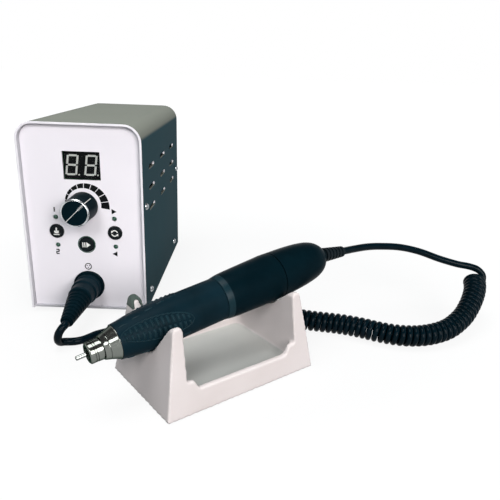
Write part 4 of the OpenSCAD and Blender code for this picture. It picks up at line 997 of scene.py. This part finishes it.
# radius and height up the side of the head, in millimetres, and the half lengths of the recess's arms
top_z, pit_z = 1.68, 0.8
profile = [(2.9, 0), (2.9, 0.35), (2.72, 0.85), (2.3, 1.3), (1.85, 1.58), (1.55, top_z)]
sides = 20
rings = [[shape.verts.new((r * math.cos(2 * math.pi * k / sides), r * math.sin(2 * math.pi * k / sides), z))
          for k in range(sides)] for r, z in profile]
for low_ring, high_ring in zip(rings, rings[1:]):
    for k in range(sides):
        n = (k + 1) % sides
        shape.faces.new((low_ring[k], low_ring[n], high_ring[n], high_ring[k]))
arm, half_arm = 1.3, 0.32
corner = [(half_arm, half_arm), (half_arm, arm), (-half_arm, arm)]
cross = [(x * c - y * s, x * s + y * c) for c, s in ((1, 0), (0, 1), (-1, 0), (0, -1)) for x, y in corner]
lip, pit = ([shape.verts.new((x, y, z)) for x, y in cross] for z in (top_z, pit_z))
edges = [shape.edges.new((lip[i - 1], lip[i])) for i in range(len(lip))]
edges += [shape.edges.get((rings[-1][k - 1], rings[-1][k])) for k in range(sides)]
bmesh.ops.triangle_fill(shape, use_beauty=True, edges=edges)
for i in range(len(lip)):
    shape.faces.new((lip[i - 1], lip[i], pit[i], pit[i - 1]))
shape.faces.new(pit)
shape.faces.new(rings[0])
bmesh.ops.recalc_face_normals(shape, faces=shape.faces)
head_mesh = bpy.data.meshes.new("screw_head")
shape.to_mesh(head_mesh)
shape.free()
head_mesh.transform(Matrix.Scale(MM, 4))
screw_head = bpy.data.objects.new("screw_head", head_mesh)
scene.collection.objects.link(screw_head)
print("faces of one head:", len(head_mesh.polygons))

# %% Tree that sets the heads on their points
tree = bpy.data.node_groups.new("heads_on_points", "GeometryNodeTree")
for name, kind in (("Points", "Geometry"), ("Head", "Object"), ("Finish", "Material"),
                   ("Head Scale", "Vector")):
    tree.interface.new_socket(name, in_out="INPUT", socket_type="NodeSocket" + kind)
tree.interface.new_socket("Screws", in_out="OUTPUT", socket_type="NodeSocketGeometry")
given = add(tree, "NodeGroupInput").outputs
turn = add(tree, "GeometryNodeInputNamedAttribute", {"Name": "turn"}, data_type="FLOAT_VECTOR").outputs[0]
turned = add(tree, "FunctionNodeEulerToRotation", {0: turn}).outputs[0]
head = add(tree, "GeometryNodeObjectInfo", {"Object": given["Head"]}).outputs["Geometry"]
heads = add(tree, "GeometryNodeInstanceOnPoints",
            {"Points": given["Points"], "Scale": given["Head Scale"], "Rotation": turned,
             "Instance": head}).outputs[0]
heads = add(tree, "GeometryNodeRealizeInstances", {0: heads}).outputs[0]
heads = add(tree, "GeometryNodeSetMaterial", {"Geometry": heads, "Material": given["Finish"]}).outputs[0]
add(tree, "NodeGroupOutput", {"Screws": heads})
print("nodes in the tree:", len(tree.nodes))


# %% Cover and inlet screws
def screw_points(name, rows):
    points = bpy.data.meshes.new(name)
    points.from_pydata([(x * MM, y * MM, z * MM) for x, y, z, _ in rows], [], [])
    points.attributes.new("turn", "FLOAT_VECTOR", "POINT").data.foreach_set(
        "vector", [angle for row in rows for angle in row[3]])
    return points


quarter = math.pi / 2
cover_side, screw_turn = 42, 0.4
cover_rows = [(side * cover_side, y, z, (side * screw_turn, side * quarter, 0)) for side in (-1, 1)
              for y, z in ((-72, 80), (72, 80), (-63, 13.5), (52, 13.5))]
cover_heads = tree_applied("cover_screw_heads", screw_points("cover_screw_points", cover_rows), tree, **{
    "Head": screw_head, "Finish": zinc, "Head Scale": Vector((0.8, 0.8, 0.9))})
settle(cover_heads, "base", "zinc_steel", "cover_screws")
inlet_z, inlet_head_r, inlet_head_h = 30, 3.1, 0.75
inlet_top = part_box("inlet_screws")[1][1] / MM
inlet_x = (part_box("inlet_screws")[1][0] / MM) - inlet_head_r
inlet_rows = [(side * inlet_x, inlet_top - inlet_head_h, inlet_z, (-quarter, 0, 0)) for side in (-1, 1)]
inlet_heads = tree_applied("inlet_screw_heads", screw_points("inlet_screw_points", inlet_rows), tree, **{
    "Head": screw_head, "Finish": zinc, "Head Scale": Vector((1, 1, 0.45))})
settle(inlet_heads, "base", "zinc_steel", "inlet_screws")
bpy.data.objects.remove(screw_head)
print("screw faces:", len(cover_heads.data.polygons), len(inlet_heads.data.polygons))

# %% [markdown]
# Knob: black moulded plastic with a bright turned edge round its face, which shows as a thin arc of light.
# The solid has that chamfer already, so the copy only needs a second finish on it.

# %% Knob
bright_edge = skinned("turned_aluminium_bright", "#d4d8da", 0.22, Metallic=1.0,
    grain_mm=0.4, depth_mm=0.002, tones=("#cbd0d2", "#dde1e3"), gloss=(0.18, 0.28), patch_mm=3)
knob = rounded("speed_knob", 0.12, "knob", "knob_plastic", smooth_abs, segments=1, angle=25)
knob.data.materials.append(bright_edge)
chamfer_depth = 1.3
for face in knob.data.polygons:
    if face.center.y / MM < knob_front + chamfer_depth and -0.93 < face.normal.y < -0.25:
        face.material_index = 1
print("bright faces on the knob:", sum(f.material_index for f in knob.data.polygons))

# %% [markdown]
# Nose: turned from one steel bar, with two fine grooves, a deeper one, and a cone that widens to meet the
# sleeve. Blender's lathe is the Screw modifier: it spins a profile round an axis. The profile is drawn in
# millimetres as radius and place along the handpiece, and the finished mesh is then turned into its place.

# %% Nose
profile = [
    (3.6, -28), (5.1, -28), (5.7, -27.6), (5.85, -27.2), (5.85, -25.6), (5.55, -25.45), (5.55, -25.2),
    (5.85, -25.05), (5.85, -24.4), (5.55, -24.25), (5.55, -24), (5.9, -23.85), (6.0, -21.3), (5.45, -21.1),
    (5.45, -20.6), (6.5, -20.4), (6.66, -20.2), (7.4, -17.9), (7.2, -17.75), (7.25, -17.55), (7.5, -17.45),
    (9.2, -12.9), (9.4, -12.7), (9.4, -12.4), (7.4, -12.4), (7.4, 12), (5.5, 12), (5.5, -10), (3.6, -10),
]
outline = bpy.data.meshes.new("nose_profile")
outline.from_pydata([(r * MM, 0, z * MM) for r, z in profile], [(i - 1, i) for i in range(1, len(profile))]
                    + [(len(profile) - 1, 0)], [])
nose = bpy.data.objects.new("nose_turned", outline)
scene.collection.objects.link(nose)
lathe = nose.modifiers.new("lathe", "SCREW")
lathe.steps = lathe.render_steps = 96
lathe.use_merge_vertices, lathe.merge_threshold = True, 1e-6
nose_mesh = plain_mesh(nose)
nose_mesh.transform(Matrix.Translation(Vector(hand_at) * MM) @ hand_frame.to_4x4())
shape = bmesh.new()
shape.from_mesh(nose_mesh)
bmesh.ops.recalc_face_normals(shape, faces=shape.faces)
shape.to_mesh(nose_mesh)
shape.free()
nose_mesh.materials.append(turned_steel)
nose_mesh.polygons.foreach_set("use_smooth", [True] * len(nose_mesh.polygons))
nose_mesh.set_sharp_from_angle(angle=math.radians(24))
settle(nose, "handpiece", "nose_steel", "nose_cone")
print("nose faces:", len(nose_mesh.polygons))

# %% [markdown]
# Twist ring: its front end is a short cone that fingers rub each time the chuck is opened, so that band is a
# little glossier than the rest, and painted a little paler as a painted highlight. The copy of the solid
# carries a second finish there.

# %% Twist ring
twist_ring = rounded("chuck_ring", 0.3, "twist_ring", "grip_plastic", smooth_abs)
twist_ring.data.materials.append(rubbed_abs_painted_highlight)
rubbed_highlight_end = 56.4
for face in twist_ring.data.polygons:
    if (face.center / MM - Vector(hand_at)).dot(Vector(hand_way)) < rubbed_highlight_end:
        face.material_index = 1
print("rubbed faces:", sum(f.material_index for f in twist_ring.data.polygons))

# %% [markdown]
# Stage: a pale floor under soft studio light. Three square area lamps light the set. The strongest stands
# in front and to the right, a smaller one to the left draws the bright streaks on the steel, and one above
# lights the top of the box. The box's right side stays dark, as in the photograph. The floor is a middle
# grey that throws little light back up, and its own glow towards the camera and into reflections makes it
# white while it keeps the object's shadow. The sky is white near the horizon, and darker overhead for
# reflections, as a ceiling would be, and it fills the shadows with a little blue light.

# %% Floor
floor_mesh = bpy.data.meshes.new("floor")
half, floor_z = 6.0, -0.0002
floor_mesh.from_pydata([(-half, -half, floor_z), (half, -half, floor_z), (half, half, floor_z),
                        (-half, half, floor_z)], [], [(0, 1, 2, 3)])
floor = bpy.data.objects.new("floor", floor_mesh)
scene.collection.objects.link(floor)
floor_paint, tree, shader = start("matt_floor", "#585858", 0.9, Specular_IOR_Level=0.0)


def seen_directly(tree):
    kind = add(tree, "ShaderNodeLightPath")
    seen = add(tree, "ShaderNodeMath", {0: kind.outputs["Is Camera Ray"], 1: kind.outputs["Is Glossy Ray"]},
               operation="MAXIMUM")
    return add(tree, "ShaderNodeMath", {0: seen.outputs["Value"], 1: kind.outputs["Is Transmission Ray"]},
               operation="MAXIMUM").outputs["Value"]


# the glow is a little weaker round the middle of the set, so that the shadows there keep some depth
where = add(tree, "ShaderNodeTexCoord").outputs["Object"]
away = add(tree, "ShaderNodeVectorMath", {0: where, 1: (0.1, -0.05, 0)}, operation="DISTANCE")
far = add(tree, "ShaderNodeMapRange", {"Value": away.outputs["Value"], "From Min": 0.15, "From Max": 0.5,
                                       "To Min": 0.88, "To Max": 1.0})
glow = add(tree, "ShaderNodeMath", {0: seen_directly(tree), 1: far.outputs["Result"]}, operation="MULTIPLY")
shader.inputs["Emission Color"].default_value = (1, 1, 1, 1)
tree.links.new(glow.outputs["Value"], shader.inputs["Emission Strength"])
floor_mesh.materials.append(floor_paint)
floor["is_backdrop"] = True
print("floor:", 2 * half, "m across")

# %% Sky and lamps
world = bpy.data.worlds.new("studio")
scene.world = world
world.use_nodes = True
tree = world.node_tree
way = add(tree, "ShaderNodeSeparateXYZ", {"Vector": add(tree, "ShaderNodeTexCoord").outputs["Generated"]})
ceiling = add(tree, "ShaderNodeMapRange", {"Value": way.outputs["Z"], "From Min": 0.3, "From Max": 0.6,
                                           "To Min": 1.0, "To Max": 0.12})
white = add(tree, "ShaderNodeBackground", {"Strength": ceiling.outputs["Result"]})
white.inputs["Color"].default_value = (1, 1, 1, 1)
fill = tree.nodes["Background"]
fill.inputs["Color"].default_value = linear("#9ccbdc")
fill.inputs["Strength"].default_value = 0.16
sky = add(tree, "ShaderNodeMixShader", {0: seen_directly(tree), 1: fill.outputs[0], 2: white.outputs[0]})
tree.links.new(sky.outputs[0], tree.nodes["World Output"].inputs["Surface"])

for name, way_from, watts, size, colour in (
        ("front_lamp", (0.7, -1.12, 0.58), 15.5, 0.7, (1.0, 0.965, 0.955)),
        ("left_lamp", (-0.15, -1.2, 0.85), 5.5, 0.42, (1, 1, 1)),
        ("top_lamp", (-0.1, -0.1, 1.25), 9, 0.7, (1, 1, 1))):
    light = bpy.data.lights.new(name, "AREA")
    light.energy, light.shape, light.size, light.color = watts, "SQUARE", size, colour
    lamp = bpy.data.objects.new(name, light)
    lamp.location = way_from
    lamp.rotation_euler = Vector(way_from).to_track_quat("Z", "Y").to_euler()
    scene.collection.objects.link(lamp)
scene.view_settings.view_transform = "Standard"

# %% [markdown]
# Finish: the size of the dressed model's box is printed.

# %% Sizes and finish
low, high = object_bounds()
print("visual box:", [round(v, 4) for v in high - low])
